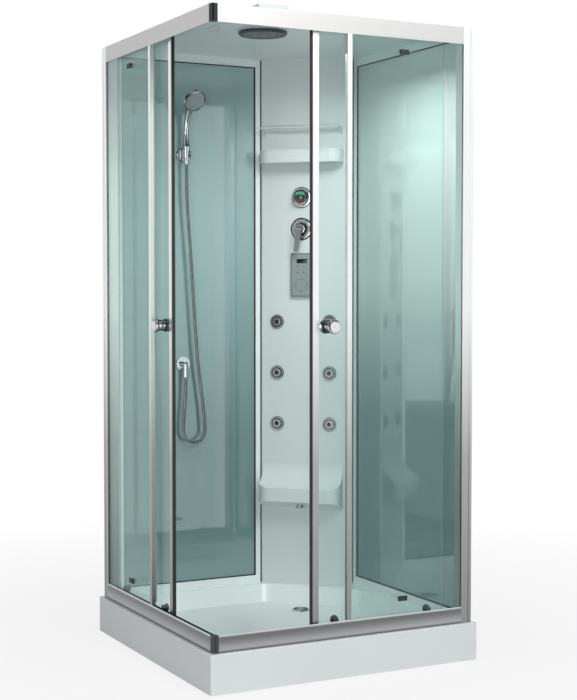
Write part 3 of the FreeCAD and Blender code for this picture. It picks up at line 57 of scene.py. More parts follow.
def clearSelection():
    if bpy.context.object and bpy.context.object.mode != "OBJECT":
        bpy.ops.object.mode_set(mode="OBJECT")
    bpy.ops.object.select_all(action="DESELECT")


def applyModifiers(piece):
    for modifier in list(piece.modifiers):
        bpy.ops.object.modifier_apply(modifier=modifier.name)


def bevelEdges(piece, width, segments=2, limit=40):
    modifier = piece.modifiers.new("softEdge", "BEVEL")
    modifier.width = width
    modifier.segments = segments
    modifier.angle_limit = math.radians(limit)
    applyModifiers(piece)


def joinPieces(pieces):
    clearSelection()
    for piece in pieces:
        piece.select_set(True)
    bpy.context.view_layer.objects.active = pieces[0]
    if len(pieces) > 1:
        bpy.ops.object.join()
    return bpy.context.object


def repeatPiece(piece, places):
    # copies with their own mesh, moved by each offset, all joined into one piece
    copies = []
    for offset in places:
        copy = piece.copy()
        copy.data = piece.data.copy()
        bpy.context.scene.collection.objects.link(copy)
        copy.location = piece.location + Vector(offset)
        copies.append(copy)
    bpy.data.objects.remove(piece)
    return joinPieces(copies)


def finishPiece(piece, name, body, finish, angle=35):
    clearSelection()
    piece.select_set(True)
    bpy.context.view_layer.objects.active = piece
    bpy.ops.object.transform_apply(location=True, rotation=True, scale=True)
    bpy.ops.object.shade_smooth_by_angle(angle=math.radians(angle))
    piece.name = name
    piece.data.name = name
    piece.data.materials.clear()
    piece.data.materials.append(finish)
    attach(piece, body)


def boxMiddle(node):
    low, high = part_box(node)
    return (low + high) / 2


def turnedPiece(profile, place, direction, sides=48):
    # a lathe: the first ring is extruded and resized up the profile of (radius, height)
    clearSelection()
    radius, height = profile[0]
    bpy.ops.mesh.primitive_circle_add(vertices=sides, radius=radius, location=(0, 0, 0), fill_type="NGON")
    piece = bpy.context.object
    bpy.ops.object.mode_set(mode="EDIT")
    bpy.ops.mesh.select_all(action="SELECT")
    bpy.ops.transform.translate(value=(0, 0, height))
    for nextRadius, nextHeight in profile[1:]:
        bpy.ops.mesh.extrude_region_move(TRANSFORM_OT_translate={"value": (0, 0, nextHeight - height)})
        ratio = nextRadius / radius
        bpy.ops.transform.resize(value=(ratio, ratio, 1), center_override=(0, 0, nextHeight))
        radius, height = nextRadius, nextHeight
    bpy.ops.mesh.select_all(action="SELECT")
    bpy.ops.mesh.normals_make_consistent(inside=False)
    bpy.ops.object.mode_set(mode="OBJECT")
    piece.rotation_mode = "QUATERNION"
    piece.rotation_quaternion = Vector(direction).to_track_quat("Z", "Y")
    piece.location = place
    return piece


def blockPiece(size, place, turn=0, bevel=0.0002, segments=1):
    # a block turned about Z, with its edges softened
    clearSelection()
    bpy.ops.mesh.primitive_cube_add(size=1, location=place, rotation=(0, 0, turn))
    piece = bpy.context.object
    piece.scale = size
    bpy.ops.object.transform_apply(location=False, rotation=False, scale=True)
    bevelEdges(piece, bevel, segments)
    return piece


class Link:
    def __init__(self, finish, socket):
        self.finish = finish
        self.socket = socket

    def math(self, operation, first, second):
        return self.finish.node("Math", {"operation": operation}, {0: first, 1: second})

    def __add__(self, other):
        return self.math("ADD", self, other)

    def __sub__(self, other):
        return self.math("SUBTRACT", self, other)

    def __rsub__(self, other):
        return self.math("SUBTRACT", other, self)

    def __mul__(self, other):
        return self.math("MULTIPLY", self, other)

    def __pow__(self, other):
        return self.math("POWER", self, other)

    def __gt__(self, other):
        return self.math("GREATER_THAN", self, other)

    __radd__ = __add__
    __rmul__ = __mul__


class NodeTree:
    def __init__(self, tree):
        self.tree = tree

    def put(self, socket, value):
        if isinstance(value, Link):
            self.tree.links.new(value.socket, socket)
        else:
            socket.default_value = value

    def node(self, kind, settings=None, sockets=None, output=0):
        made = self.tree.nodes.new("ShaderNode" + kind)
        for key, value in (settings or {}).items():
            if key == "stops":
                self.setStops(made.color_ramp, value)
            else:
                setattr(made, key, value)
        for key, value in (sockets or {}).items():
            self.put(made.inputs[key], value)
        return Link(self, made.outputs[output])

    def setStops(self, ramp, stops):
        while len(ramp.elements) < len(stops):
            ramp.elements.new(0.5)
        for element, (place, colour) in zip(ramp.elements, stops):
            element.position = place
            element.color = colour if len(colour) == 4 else (*colour, 1)


class Finish(NodeTree):
    def __init__(self, name, roughness=0.5, metallic=0.0, coat=0.0, coatRough=0.03, coatIor=1.5):
        self.material = bpy.data.materials.new(name)
        self.material.use_nodes = True
        super().__init__(self.material.node_tree)
        self.shader = self.tree.nodes["Principled BSDF"]
        self.output = self.tree.nodes["Material Output"]
        self.shader.inputs["Roughness"].default_value = roughness
        self.shader.inputs["Metallic"].default_value = metallic
        self.shader.inputs["Coat Weight"].default_value = coat
        self.shader.inputs["Coat Roughness"].default_value = coatRough
        self.shader.inputs["Coat IOR"].default_value = coatIor

    def place(self, scale=(1, 1, 1)):
        coordinates = self.node("TexCoord", output="Object")
        return self.node("Mapping", {}, {"Vector": coordinates, "Scale": scale})

    def noise(self, scale, detail=2.0, stretch=(1, 1, 1)):
        return self.node("TexNoise", {}, {"Vector": self.place(stretch), "Scale": scale, "Detail": detail})

    def axis(self, number):
        coordinates = self.node("TexCoord", output="Object")
        return self.node("SeparateXYZ", {}, {0: coordinates}, number)

    def ramp(self, factor, stops):
        return self.node("ValToRGB", {"stops": stops}, {0: factor})

    def multiply(self, first, second):
        settings = {"data_type": "RGBA", "blend_type": "MULTIPLY"}
        return self.node("Mix", settings, {0: 1.0, 6: first, 7: second}, 2)

    def mix(self, factor, first, second):
        sockets = {0: factor, 6: first, 7: second}
        return self.node("Mix", {"data_type": "RGBA"}, sockets, 2)

    def base(self, value):
        self.put(self.shader.inputs["Base Color"], value)

    def rough(self, value):
        self.put(self.shader.inputs["Roughness"], value)

    def bump(self, height, depth):
        sockets = {"Strength": 1.0, "Distance": depth, "Height": height}
        self.put(self.shader.inputs["Normal"], self.node("Bump", {}, sockets))


def paint(red, green, blue):
    # a colour as seen on screen, 0 to 255, turned to linear light
    return tuple(((value / 255 + 0.055) / 1.055) ** 2.4 for value in (red, green, blue)) + (1,)


def grey(value):
    return paint(value, value, value)


def greys(stops):
    return [(place, grey(level)) for place, level in stops]


def makeAcrylic(name, dark, light, coat=0.35):
    made = Finish(name, coat=coat, coatRough=0.22)
    made.base(made.mix(made.noise(2.5, 3), paint(*dark), paint(*light)))
    made.rough(made.noise(9, 3) * 0.1 + 0.26)
    made.bump(made.noise(55, 2), 0.00012)
    return made.material


def makeAluminium(name, stretch, dark, light, paintedShade=((0, 255), (1, 255)), metallic=0.85):
    # brushed along its length; the shade ramp is painted shade and reflection: it pales with its height, in
    # grey levels
    made = Finish(name, metallic=metallic)
    grain = made.noise(1, 3, stretch)
    # painted shade by height, multiplied into the brushed colour
    paintedShading = made.ramp(made.axis(2) * 0.5, greys(paintedShade))
    made.base(made.multiply(paintedShading, made.mix(grain, paint(*dark), paint(*light))))
    made.rough(grain * 0.16 + 0.26)
    made.bump(grain, 0.00004)
    return made.material


# painted reflection bands for chrome, by how far a face points up and to one side; the smudge is a real
# random darkening
paintedReflectionAndSmudge = {
    "acrossFrom": (0.89, -0.46, 0),
    "level": ((0, 150), (0.36, 205), (0.45, 250), (0.55, 250), (0.61, 88), (0.7, 120), (0.8, 250), (1, 240)),
    "side": ((0, 225), (0.08, 230), (0.16, 120), (0.25, 235), (0.38, 255), (0.46, 240), (0.54, 120),
             (0.63, 105), (0.7, 250), (0.8, 250), (0.9, 140), (1, 200)),
    "smudge": 14,
}


def makeChrome(name="polishedChrome", light=(240, 243, 245)):
    # polished chrome with a painted reflection of a studio: bands painted into its colour, which follow the
    # way each face points
    made = Finish(name, metallic=1.0)
    normal = made.node("NewGeometry", output="Normal")
    rise = made.node("SeparateXYZ", {}, {0: normal}, 2) * 0.5 + 0.5
    sockets = {0: normal, 1: paintedReflectionAndSmudge["acrossFrom"]}
    around = made.node("VectorMath", {"operation": "DOT_PRODUCT"}, sockets, "Value")
    # level and side are painted reflection: dark and bright bands of a mirrored studio
    level = made.ramp(rise, greys(paintedReflectionAndSmudge["level"]))
    side = made.ramp(around * 0.5 + 0.5, greys(paintedReflectionAndSmudge["side"]))
    smudge = made.noise(14, 4)
    tone = made.mix(smudge, paint(*[value - paintedReflectionAndSmudge["smudge"] for value in light]), paint(*light))
    made.base(made.multiply(tone, made.multiply(level, side)))
    made.rough(smudge * 0.07 + 0.03)
    return made.material


def makeRinged(name, middles, stops):
    # chrome turned in steps, with dark and bright rings painted round the middle of each fitting on the
    # column: a painted reflection of the steps
    made = Finish(name, metallic=0.9, roughness=0.12)
    coordinates = made.node("TexCoord", output="Object")
    across = made.node("VectorMath", {"operation": "DOT_PRODUCT"}, {0: coordinates, 1: tuple(along)}, "Value")
    nearest = None
    for place, level in middles:
        distance = ((across - place) ** 2 + (made.axis(2) - level) ** 2) ** 0.5
        nearest = distance if nearest is None else nearest.math("MINIMUM", nearest, distance)
    smudge = made.noise(60, 3)
    rings = made.ramp(nearest * 20, greys([(radius * 20, value) for radius, value in stops]))
    made.base(made.multiply(rings, made.mix(smudge, grey(232), grey(250))))
    made.rough(smudge * 0.1 + 0.08)
    return made.material


def makeClearGlass(name, edgeAxis):
    # thin flat panes: light goes straight through, tinted, and the rest is mirrored, more at a slant
    made = Finish(name, roughness=0.08, coat=0.5)
    normal = made.node("NewGeometry", output="Normal")
    component = made.node("SeparateXYZ", {}, {0: normal}, edgeAxis)
    across = made.node("Math", {"operation": "ABSOLUTE"}, {0: component})
    cutEdge = (1 - (across > 0.5)) * 0.7
    smear = made.noise(3, 4, (1, 1, 0.4))
    made.base(made.mix(smear, paint(146, 186, 176), paint(172, 206, 197)))
    slant = made.node("LayerWeight", {}, {"Blend": 0.5}, "Facing")
    through = made.node("BsdfTransparent", {}, {"Color": paint(249, 254, 253)})
    mirror = made.node("BsdfGlossy", {}, {"Color": (0.45, 0.52, 0.51, 1), "Roughness": 0.02})
    amount = 0.03 + slant ** 5 + smear * 0.01
    pane = made.node("MixShader", {}, {0: amount, 1: through, 2: mirror})
    surface = made.node("MixShader", {}, {0: cutEdge, 1: pane, 2: Link(made, made.shader.outputs[0])})
    made.put(made.output.inputs["Surface"], surface)
    return made.material


def makeTealGlass():
    # tinted panes with painted light: painted lightest at shoulder height, and the right one painted paler
    # than the back one, where more light reaches it
    made = Finish("tealGlass", roughness=0.04, coat=1.0, coatIor=2.0)
    level = made.axis(2) * 0.5
    back = made.ramp(level, [(0.1, paint(120, 148, 148)), (0.35, paint(112, 138, 138)),
                             (0.75, paint(152, 182, 182))])
    right = made.ramp(level, [(0.1, paint(94, 128, 130)), (0.4, paint(114, 146, 146)),
                              (0.65, paint(216, 224, 222))])
    tintAndPaintedLight = made.mix(made.axis(0) > 0.4, back, right)
    made.base(made.mix(made.noise(1.4, 3) * 0.07, tintAndPaintedLight, paint(130, 160, 160)))
    made.rough(made.noise(6, 2) * 0.05 + 0.03)
    return made.material


def makeRubber():
    made = Finish("blackRubber", roughness=0.6)
    grain = made.noise(160, 3)
    made.base(made.mix(grain, paint(18, 19, 20), paint(34, 35, 36)))
    made.bump(grain, 0.0001)
    return made.material


def makePaneSeals(outerFace):
    # pale brush seals behind the panes, dark rubber pads in front of them
    made = Finish("paneSealRubber", roughness=0.6)
    grain = made.noise(160, 3)
    nearest = made.node("Math", {"operation": "MINIMUM"}, {0: made.axis(0), 1: made.axis(1)})
    pale = made.mix(grain, paint(150, 160, 160), paint(172, 182, 181))
    made.base(made.mix(nearest > outerFace, paint(26, 30, 31), pale))
    made.bump(grain, 0.0001)
    return made.material


def makeMoulded(name, dark, light, rough=0.4):
    made = Finish(name, roughness=rough)
    grain = made.noise(120, 3)
    made.base(made.mix(grain, paint(*dark), paint(*light)))
    made.rough(grain * 0.15 + rough - 0.07)
    made.bump(grain, 0.00008)
    return made.material


def makeBrushed(name, dark, light):
    made = Finish(name, metallic=0.9, roughness=0.35)
    grain = made.noise(1, 3, (300, 300, 6))
    made.base(made.mix(grain, paint(*dark), paint(*light)))
    made.rough(grain * 0.2 + 0.25)
    return made.material


def makeCrystal(low, high):
    # a painted reflection of the room: green above, black across the middle and brown below
    made = Finish("crystalDome", roughness=0.05, coat=1.0)
    rise = made.node("MapRange", sockets={0: made.axis(2), 1: low, 2: high, 3: 0.0, 4: 1.0})
    swirl = made.noise(70, 4)
    made.base(made.ramp(rise + swirl * 0.3 - 0.15, [
        (0.05, paint(24, 20, 18)), (0.18, paint(128, 62, 44)), (0.3, paint(22, 20, 20)),
        (0.5, paint(10, 18, 18)), (0.62, paint(30, 92, 72)), (0.76, paint(64, 170, 134)),
        (0.9, paint(26, 66, 56))]))
    made.rough(swirl * 0.1 + 0.02)
    return made.material


# painted shade up the posts: darker towards the floor, paling to white higher up
postPaintedShade = ((0.1, 155), (0.35, 180), (0.6, 252))
# painted shade and highlight up a bottom rail: a dark line at its joint with the tray, a pale foot, painted
# shade across its face and a painted highlight on its top lip
railPaintedBands = ((0.03, 100), (0.06, 195), (0.7, 125), (0.93, 125), (0.96, 255))  # up a bottom rail
railLow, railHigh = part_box("bottom_rails")
railPaintedShade = [((railLow.z + (railHigh.z - railLow.z) * place) * 0.5, level) for place, level in railPaintedBands]
# valve and jet ring greys by radius: dark and bright rings of painted reflection on the chrome
valves = {"heights": (1.621, 1.501), "stops": ((0.0235, 80), (0.0265, 232), (0.0345, 240), (0.0375, 200),
                                                (0.0395, 52))}
jetPaintedRings = ((0.002, 214), (0.0035, 96), (0.0085, 72), (0.0105, 250), (0.0148, 250), (0.0165, 88),
            (0.0185, 90), (0.0212, 206), (0.0252, 214), (0.0262, 66))
domeLow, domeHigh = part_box("diverter_knob")
jetCentres = [boxMiddle("jet_nozzle_%d" % number) for number in range(1, 7)]
jetMiddles = [(centre.dot(along), centre.z) for centre in jetCentres]
valveMiddles = [(boxMiddle("diverter_knob").dot(along), height) for height in valves["heights"]]
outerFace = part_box("fixed_glass_front")[0].y + 0.0005  # what lies further out is in front of the panes
finishes = {
    "acrylic": makeAcrylic("whiteAcrylic", (228, 233, 233), (238, 242, 242)),
    "columnAcrylic": makeAcrylic("columnAcrylic", (212, 219, 219), (224, 230, 230), 0.1),
    "topRailMetal": makeAluminium("topRailAluminium", (3, 3, 500), (206, 207, 206), (222, 222, 220),
                                  metallic=0.5),
    "lowRailMetal": makeAluminium("lowRailAluminium", (3, 3, 500), (232, 235, 236), (246, 248, 249),
                                  railPaintedShade),
    "postMetal": makeAluminium("postAluminium", (500, 500, 3), (234, 236, 236), (252, 253, 253), postPaintedShade),
    "frameMetal": makeAluminium("frameAluminium", (500, 500, 3), (240, 246, 246), (250, 254, 254),
                                metallic=0.1),
    "chrome": makeChrome(),
    # the corner caps get a copy of the chrome painted much darker: painted shade and dark reflection
    "paintedShadeChrome": makeChrome("shadedChrome", (104, 108, 110)),
    "frontGlass": makeClearGlass("clearGlassFront", 1),
    "sideGlass": makeClearGlass("clearGlassSide", 0),
    "tealGlass": makeTealGlass(),
    "rubber": makeRubber(),
    "paneSeals": makePaneSeals(outerFace),
    "rollers": makeMoulded("rollerPlastic", (52, 56, 58), (74, 78, 80)),
    "waste": makeMoulded("wastePlastic", (80, 83, 85), (98, 101, 103), 0.5),
    "nozzles": makeMoulded("nozzlePlastic", (150, 158, 160), (176, 183, 185), 0.3),
    "panel": makeMoulded("panelMembrane", (136, 146, 146), (150, 160, 160), 0.38),
    "print": makeMoulded("panelPrint", (40, 48, 50), (56, 64, 66), 0.4),
    "display": makeMoulded("displayWindow", (8, 10, 11), (16, 18, 20), 0.2),
    "galvanised": makeBrushed("galvanisedSteel", (128, 132, 134), (160, 164, 166)),
    "tank": makeBrushed("tankSteel", (150, 154, 156), (178, 182, 184)),
    "copper": makeBrushed("copperPipe", (176, 112, 78), (206, 142, 104)),
    "grille": makeMoulded("grillePlate", (44, 52, 54), (62, 70, 72), 0.35),
    "hose": makeChrome("hoseMetal", (206, 210, 212)),
    "crystal": makeCrystal(domeLow.z, domeHigh.z),
    "railChrome": makeAluminium("brightChrome", (60, 60, 60), (206, 214, 214), (226, 232, 232),
                                metallic=0.55),
    "jetRings": makeRinged("jetChrome", jetMiddles, jetPaintedRings),
    "valveRings": makeRinged("valveChrome", valveMiddles, valves["stops"]),
}
nodeFinishes = {
    "acrylic": ("tray", "roof", "overhead_housing"),
    "columnAcrylic": ("column",),
    "topRailMetal": ("top_rails",),
    "lowRailMetal": ("bottom_rails",),
    "postMetal": ("front_post", "side_post", "pane_profiles", "front_door_profile", "side_door_profile"),
    "frameMetal": ("wall_frame_back", "wall_frame_right"),
    "chrome": ("drain_cover", "front_door_knob", "side_door_knob", "mixer_hub", "mixer_lever",
               "handset", "handset_holder", "wall_outlet", "diverter_knob"),
    "railChrome": ("towel_rail",),
    "jetRings": ("jet_bodies",),
    "valveRings": ("valve_rings",),
    "paintedShadeChrome": ("corner_caps",),
    "frontGlass": ("fixed_glass_front", "front_door_glass"),
    "sideGlass": ("fixed_glass_side", "side_door_glass"),
    "tealGlass": ("wall_glass",),
    "rubber": ("front_door_seal", "side_door_seal"),
    "paneSeals": ("pane_seals",),
    "rollers": ("front_roller_brackets", "side_roller_brackets"),
    "waste": ("waste_trap", "valve_bodies"),
    "panel": ("control_panel",),
    "galvanised": ("tray_frame", "levelling_feet"),
    "tank": ("steam_generator",),
    "copper": ("pipework",),
    "grille": ("rain_head",),
}
for name, node in cadNodes.items():
    finish = next((key for key, members in nodeFinishes.items() if name in members), None)
    if "_roller_" in name and finish is None:
        finish = "rollers"
    if name.startswith("jet_nozzle"):
        finish = "jetRings"
    if finish:
        node.data.materials.clear()
        node.data.materials.append(finishes[finish])
print("materials set:", len(finishes))


camera = {"place": (-2.3627, -4.6197, 1.2699), "heading": -27.404, "tilt": -2.366, "lens": 75.35}


def addCamera():
    rotation = (math.radians(90 + camera["tilt"]), 0, math.radians(camera["heading"]))
    bpy.ops.object.camera_add(location=camera["place"], rotation=rotation)
    made = bpy.context.object
    made.data.lens = camera["lens"]
    made.data.sensor_width = 36
    bpy.context.scene.camera = made


hose = {
    "x": -0.171, "top": 0.436, "foot": 0.442, "diameter": 0.013, "ribPitch": 0.0028, "ribDepth": 0.0007,
    "sides": 14, "length": 1.34, "stretchFrom": 0.72, "stretchTo": 1.7,
    "route": (  # beside the handset's axis and height, from the handset round the loop to the outlet
        (0, 1.7366), (0, 1.65), (0.004, 1.5604), (0.012, 1.4603), (0.021, 1.3404), (0.028, 1.2205),
        (0.036, 1.11), (0.043, 1.0151), (0.054, 0.9255), (0.064, 0.8546), (0.072, 0.7847), (0.076, 0.7211),
        (0.049, 0.694), (0.012, 0.694), (-0.015, 0.7211), (-0.012, 0.785), (-0.006, 0.85), (-0.003, 0.895),
        (-0.003, 0.94)),
}


def hoseRoute():
    points = []
    for count, (across, height) in enumerate(hose["route"]):
        partWay = max(min((count - 1) / (len(hose["route"]) - 3), 1), 0)
        points.append((hose["x"] + across, hose["top"] + partWay * (hose["foot"] - hose["top"]), height))
    return points


def smoothPath(points):
    curve = bpy.data.curves.new("hoseRoute", "CURVE")
    curve.dimensions = "3D"
    curve.resolution_u = 16
    spline = curve.splines.new("NURBS")
    spline.points.add(len(points) - 1)
    for control, point in zip(spline.points, points):
        control.co = (*point, 1)
    spline.order_u = 3
    spline.use_endpoint_u = True
    holder = bpy.data.objects.new("hoseRoute", curve)
    line = bpy.data.meshes.new_from_object(holder)
    path = [vertex.co.copy() for vertex in line.vertices]
    bpy.data.objects.remove(holder)
    bpy.data.curves.remove(curve)
    bpy.data.meshes.remove(line)
    return path


def evenPath(path, step):
    # the same line with points at equal distances
    distances = [0]
    for before, after in zip(path, path[1:]):
        distances.append(distances[-1] + (after - before).length)
    count = round(distances[-1] / step)
    points, place = [], 0
    for number in range(count + 1):
        wanted = distances[-1] * number / count
        while place < len(path) - 2 and distances[place + 1] < wanted:
            place += 1
        span = distances[place + 1] - distances[place]
        points.append(path[place].lerp(path[place + 1], (wanted - distances[place]) / span))
    return points


def ribbedTube(path, radius, pitch, depth, sides):
    points = evenPath(path, pitch / 4)
    vertices, faces = [], []
    side = (points[1] - points[0]).orthogonal().normalized()
    for number, point in enumerate(points):
        before, after = points[max(number - 1, 0)], points[min(number + 1, len(points) - 1)]
        tangent = (after - before).normalized()
        side = (side - tangent * side.dot(tangent)).normalized()
        other = tangent.cross(side)
        grown = radius - depth * (0.5 - 0.5 * math.cos(math.pi * number / 2))
        for step in range(sides):
            turn = 2 * math.pi * step / sides
            vertices.append(point + side * (grown * math.cos(turn)) + other * (grown * math.sin(turn)))
    for ring in range(len(points) - 1):
        for step in range(sides):
            corner = ring * sides + step
            beside = ring * sides + (step + 1) % sides
            faces.append((corner, beside, beside + sides, corner + sides))
    faces.append(tuple(range(sides))[::-1])
    faces.append(tuple(range(len(vertices) - sides, len(vertices))))
    mesh = bpy.data.meshes.new("showerHoseRibbed")
    mesh.from_pydata(vertices, [], faces)
    piece = bpy.data.objects.new("showerHoseRibbed", mesh)
    bpy.context.scene.collection.objects.link(piece)
    for face in mesh.polygons:
        face.use_smooth = True
    return piece


def addHose():
    path = smoothPath(hoseRoute())
    radius = hose["diameter"] / 2
    piece = ribbedTube(path, radius, hose["ribPitch"], hose["ribDepth"], hose["sides"])
    piece.data.materials.append(finishes["hose"])
    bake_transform(piece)
    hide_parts("shower_hose")


addCamera()
addHose()


rainHead = {"recess": 0.0026, "rings": 7, "ringGap": 0.0094, "nozzle": 0.0021, "nozzleLength": 0.003,
            "ringTwist": 0.2}


def addRainHead():
    low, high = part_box("rain_head")
    centre = Vector(((low[0] + high[0]) / 2, (low[1] + high[1]) / 2, low[2]))
    seat = centre + up * rainHead["recess"]
    nozzle = turnedPiece([(rainHead["nozzle"], 0.0001), (rainHead["nozzle"], 0.0014),
                          (rainHead["nozzle"] * 0.6, rainHead["nozzleLength"] * 0.8)], seat, -up, 8)
    places = [(0, 0, 0)]
    for ring in range(1, rainHead["rings"] + 1):
        for count in range(6 * ring):
            turn = 2 * math.pi * count / (6 * ring) + ring * rainHead["ringTwist"]
            radius = ring * rainHead["ringGap"]
            places.append((radius * math.cos(turn), radius * math.sin(turn), 0))
    finishPiece(repeatPiece(nozzle, places), "rainHeadNozzles", "cabin", finishes["nozzles"])


ceilingTip = {"radius": 0.155, "proud": 0.01, "reach": 0.026, "width": 55, "top": 0.009, "height": 0.0035,
              "heading": 153}


def addCeilingTip():
    # the disc's raised tip towards the side wall, laid against the disc
    low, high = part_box("rain_head")
    centre = Vector(((low[0] + high[0]) / 2, (low[1] + high[1]) / 2, high[2]))
    radius = ceilingTip["radius"]
    clearSelection()
    bpy.ops.mesh.primitive_cylinder_add(vertices=128, radius=radius, depth=ceilingTip["height"],
                                        location=centre + up * (ceilingTip["top"] - ceilingTip["height"] / 2))
    piece = bpy.context.object
    heading = math.radians(ceilingTip["heading"])
    for vertex in piece.data.vertices:
        turn = math.atan2(vertex.co.y, vertex.co.x) - heading
        turn = abs((turn + math.pi) % (2 * math.pi) - math.pi)
        share = max(0, 1 - turn / math.radians(ceilingTip["width"]))
        grow = 1 + (ceilingTip["proud"] + ceilingTip["reach"] * share ** 1.5) / radius
        vertex.co.x *= grow
        vertex.co.y *= grow
    bevelEdges(piece, 0.001)
    finishPiece(piece, "ceilingDiscTip", "cabin", finishes["acrylic"])


addRainHead()
addCeilingTip()


panel = {
    "thick": 0.011, "width": 0.085, "line": 0.0021, "inset": 0.0032, "raised": 0.0005, "sunk": 0.0004,
    "display": (0.042, 0.0012, 0.0165), "displayPlace": (0.0025, 0.0525),
    "corner": 0.0022, "cornerInset": 0.0016, "lineShort": 0.006,
    "keyRows": (0.0305, 0.0065), "keyAcross": (-0.014, 0.012), "keySize": (0.0052, 0.002), "keyDot": 0.0014,
    "keyShift": (-0.002, 0.002), "dotShift": (0.005, -0.002),
    "padPlace": (-0.001, -0.039), "padRadius": 0.024, "padGap": 18, "padDash": (0.006, 0.0019),
    "padTick": (0.013, 0.0024), "tickReach": 0.92,
}


def panelPoint(across, height):
    # a point on the panel's front, from the middle of the panel
    return boxMiddle("control_panel") + along * across + up * height + outward * (panel["thick"] / 2)


def panelBar(width, tall, across, height):
    # a flat printed bar, half sunk in the panel
    return blockPiece((width, panel["raised"] * 2, tall), panelPoint(across, height), math.radians(-45))


def panelDot(radius, across, height, sides):
    profile = [(radius, -panel["sunk"]), (radius, panel["raised"])]
    return turnedPiece(profile, panelPoint(across, height), outward, sides)


def addPanelFace():
    low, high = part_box("control_panel")
    wide = panel["width"] / 2 - panel["inset"]
    tall = (high.z - low.z) / 2 - panel["inset"]
    lines = []
    for sign in (-1, 1):
        lines.append(panelBar(2 * wide - panel["lineShort"], panel["line"], 0, sign * tall))
        lines.append(panelBar(panel["line"], 2 * tall - panel["lineShort"], sign * wide, 0))
    for across in (-1, 1):
        for above in (-1, 1):
            lines.append(panelDot(panel["corner"], across * (wide - panel["cornerInset"]),
                                  above * (tall - panel["cornerInset"]), 16))
    long, thin = panel["keySize"]
    for row in panel["keyRows"]:
        for across in panel["keyAcross"]:
            spot = across + panel["keyShift"][0], row + panel["keyShift"][1]
            lines.append(panelBar(long, thin, *spot))
            lines.append(panelBar(thin, long, *spot))
            lines.append(panelDot(panel["keyDot"], across + panel["dotShift"][0],
                                  row + panel["dotShift"][1], 12))
    middle = panel["padPlace"]
    for quarter in range(4):
        for step in range(5):
            share = (90 - 2 * panel["padGap"]) * (step + 0.5) / 5
            turnOn = math.radians(quarter * 90 + panel["padGap"] + share)
            dash = panelBar(*panel["padDash"], middle[0] + panel["padRadius"] * math.cos(turnOn),
                            middle[1] + panel["padRadius"] * math.sin(turnOn))
            dash.rotation_mode = "QUATERNION"
            run = along * -math.sin(turnOn) + up * math.cos(turnOn)
            dash.rotation_quaternion = run.to_track_quat("X", "Y")
            lines.append(dash)
        turnOn = math.radians(quarter * 90)
        reach = panel["padRadius"] * panel["tickReach"]
        size = panel["padTick"] if quarter % 2 == 0 else panel["padTick"][::-1]
        lines.append(panelBar(*size, middle[0] + reach * math.cos(turnOn),
                              middle[1] + reach * math.sin(turnOn)))
    finishPiece(joinPieces(lines), "panelOutline", "cabin", finishes["print"])
    window = blockPiece(panel["display"], panelPoint(*panel["displayPlace"]), math.radians(-45), 0.0004, 2)
    finishPiece(window, "panelDisplay", "cabin", finishes["display"])


addPanelFace()


dome = {"face": (0.2668, 0.3432), "radius": 0.0245, "rise": 0.0185, "facets": 12, "stand": 0.0183}


def addDiverterDome():
    base = Vector((*dome["face"], boxMiddle("diverter_knob").z)) + outward * dome["stand"]
    radius, rise = dome["radius"], dome["rise"]
    profile = [(radius, -0.001), (radius, rise * 0.2), (radius * 0.93, rise * 0.52),
               (radius * 0.74, rise * 0.8), (radius * 0.42, rise * 0.97), (radius * 0.12, rise)]
    piece = turnedPiece(profile, base, outward, dome["facets"])
    finishPiece(piece, "diverterCrystal", "diverter_knob", finishes["crystal"], 20)


knobBand = {"length": 0.047, "width": 0.0036, "depth": 0.004,
            "rings": ((0.09, 0.0218), (0.395, 0.0187), (0.725, 0.0212))}


def addKnobBands(side, body):
    # dark rings at the foot, in the groove and behind the cap of the outer knob
    low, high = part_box(side + "_door_knob")
    axis = Vector((0, -1, 0)) if side == "front" else Vector((-1, 0, 0))
    middle = (low + high) / 2
    tip = Vector((middle.x, low.y, middle.z)) if side == "front" else Vector((low.x, middle.y, middle.z))
    half = knobBand["width"] / 2
    rings = []
    for place, radius in knobBand["rings"]:
        inner = radius - knobBand["depth"]
        profile = [(inner, -half), (radius, -half), (radius, half), (inner, half)]
        rings.append(turnedPiece(profile, tip - axis * knobBand["length"] * (1 - place), axis, 40))
    finishPiece(joinPieces(rings), side + "KnobBands", body, finishes["rubber"])


handset = {
    "place": (-0.171, 0.436, 1.965), "reach": 0.058, "turn": 12, "tilt": 35, "plate": 0.034,
    "rings": ((0.009, 6), (0.018, 12), (0.027, 18)),
    "tip": ((0.0016, 0.001), (0.0014, 0.003), (0.0009, 0.0036)),
    "rim": ((0.0425, -0.006), (0.0438, -0.001), (0.0432, 0.0022), (0.0408, 0.0038), (0.038, 0.0032),
            (0.0364, 0.0004)),
}


def addSprayFace():
    turn, tilt = math.radians(handset["turn"]), math.radians(handset["tilt"])
    ahead = Vector((math.sin(turn), -math.cos(turn), 0))
    normal = ahead * math.cos(tilt) - up * math.sin(tilt)
    centre = Vector(handset["place"]) + ahead * handset["reach"]
    plate = turnedPiece([(handset["plate"] + 0.002, -0.001), (handset["plate"] + 0.002, 0.0006),
                         (handset["plate"], 0.0016), (handset["plate"] * 0.5, 0.0022)], centre, normal, 48)
    finishPiece(plate, "sprayPlate", "handset", finishes["nozzles"])
    rim = turnedPiece(handset["rim"], centre, normal, 64)
    finishPiece(rim, "sprayRim", "handset", finishes["chrome"])
    acrossFace = normal.cross(up).normalized()
    upFace = acrossFace.cross(normal)
    tips = []
    for radius, count in handset["rings"]:
        for number in range(count):
            angle = 2 * math.pi * number / count
            spot = centre + acrossFace * radius * math.cos(angle) + upFace * radius * math.sin(angle)
            tips.append(turnedPiece(handset["tip"], spot, normal, 8))
    finishPiece(joinPieces(tips), "sprayTips", "handset", finishes["print"])


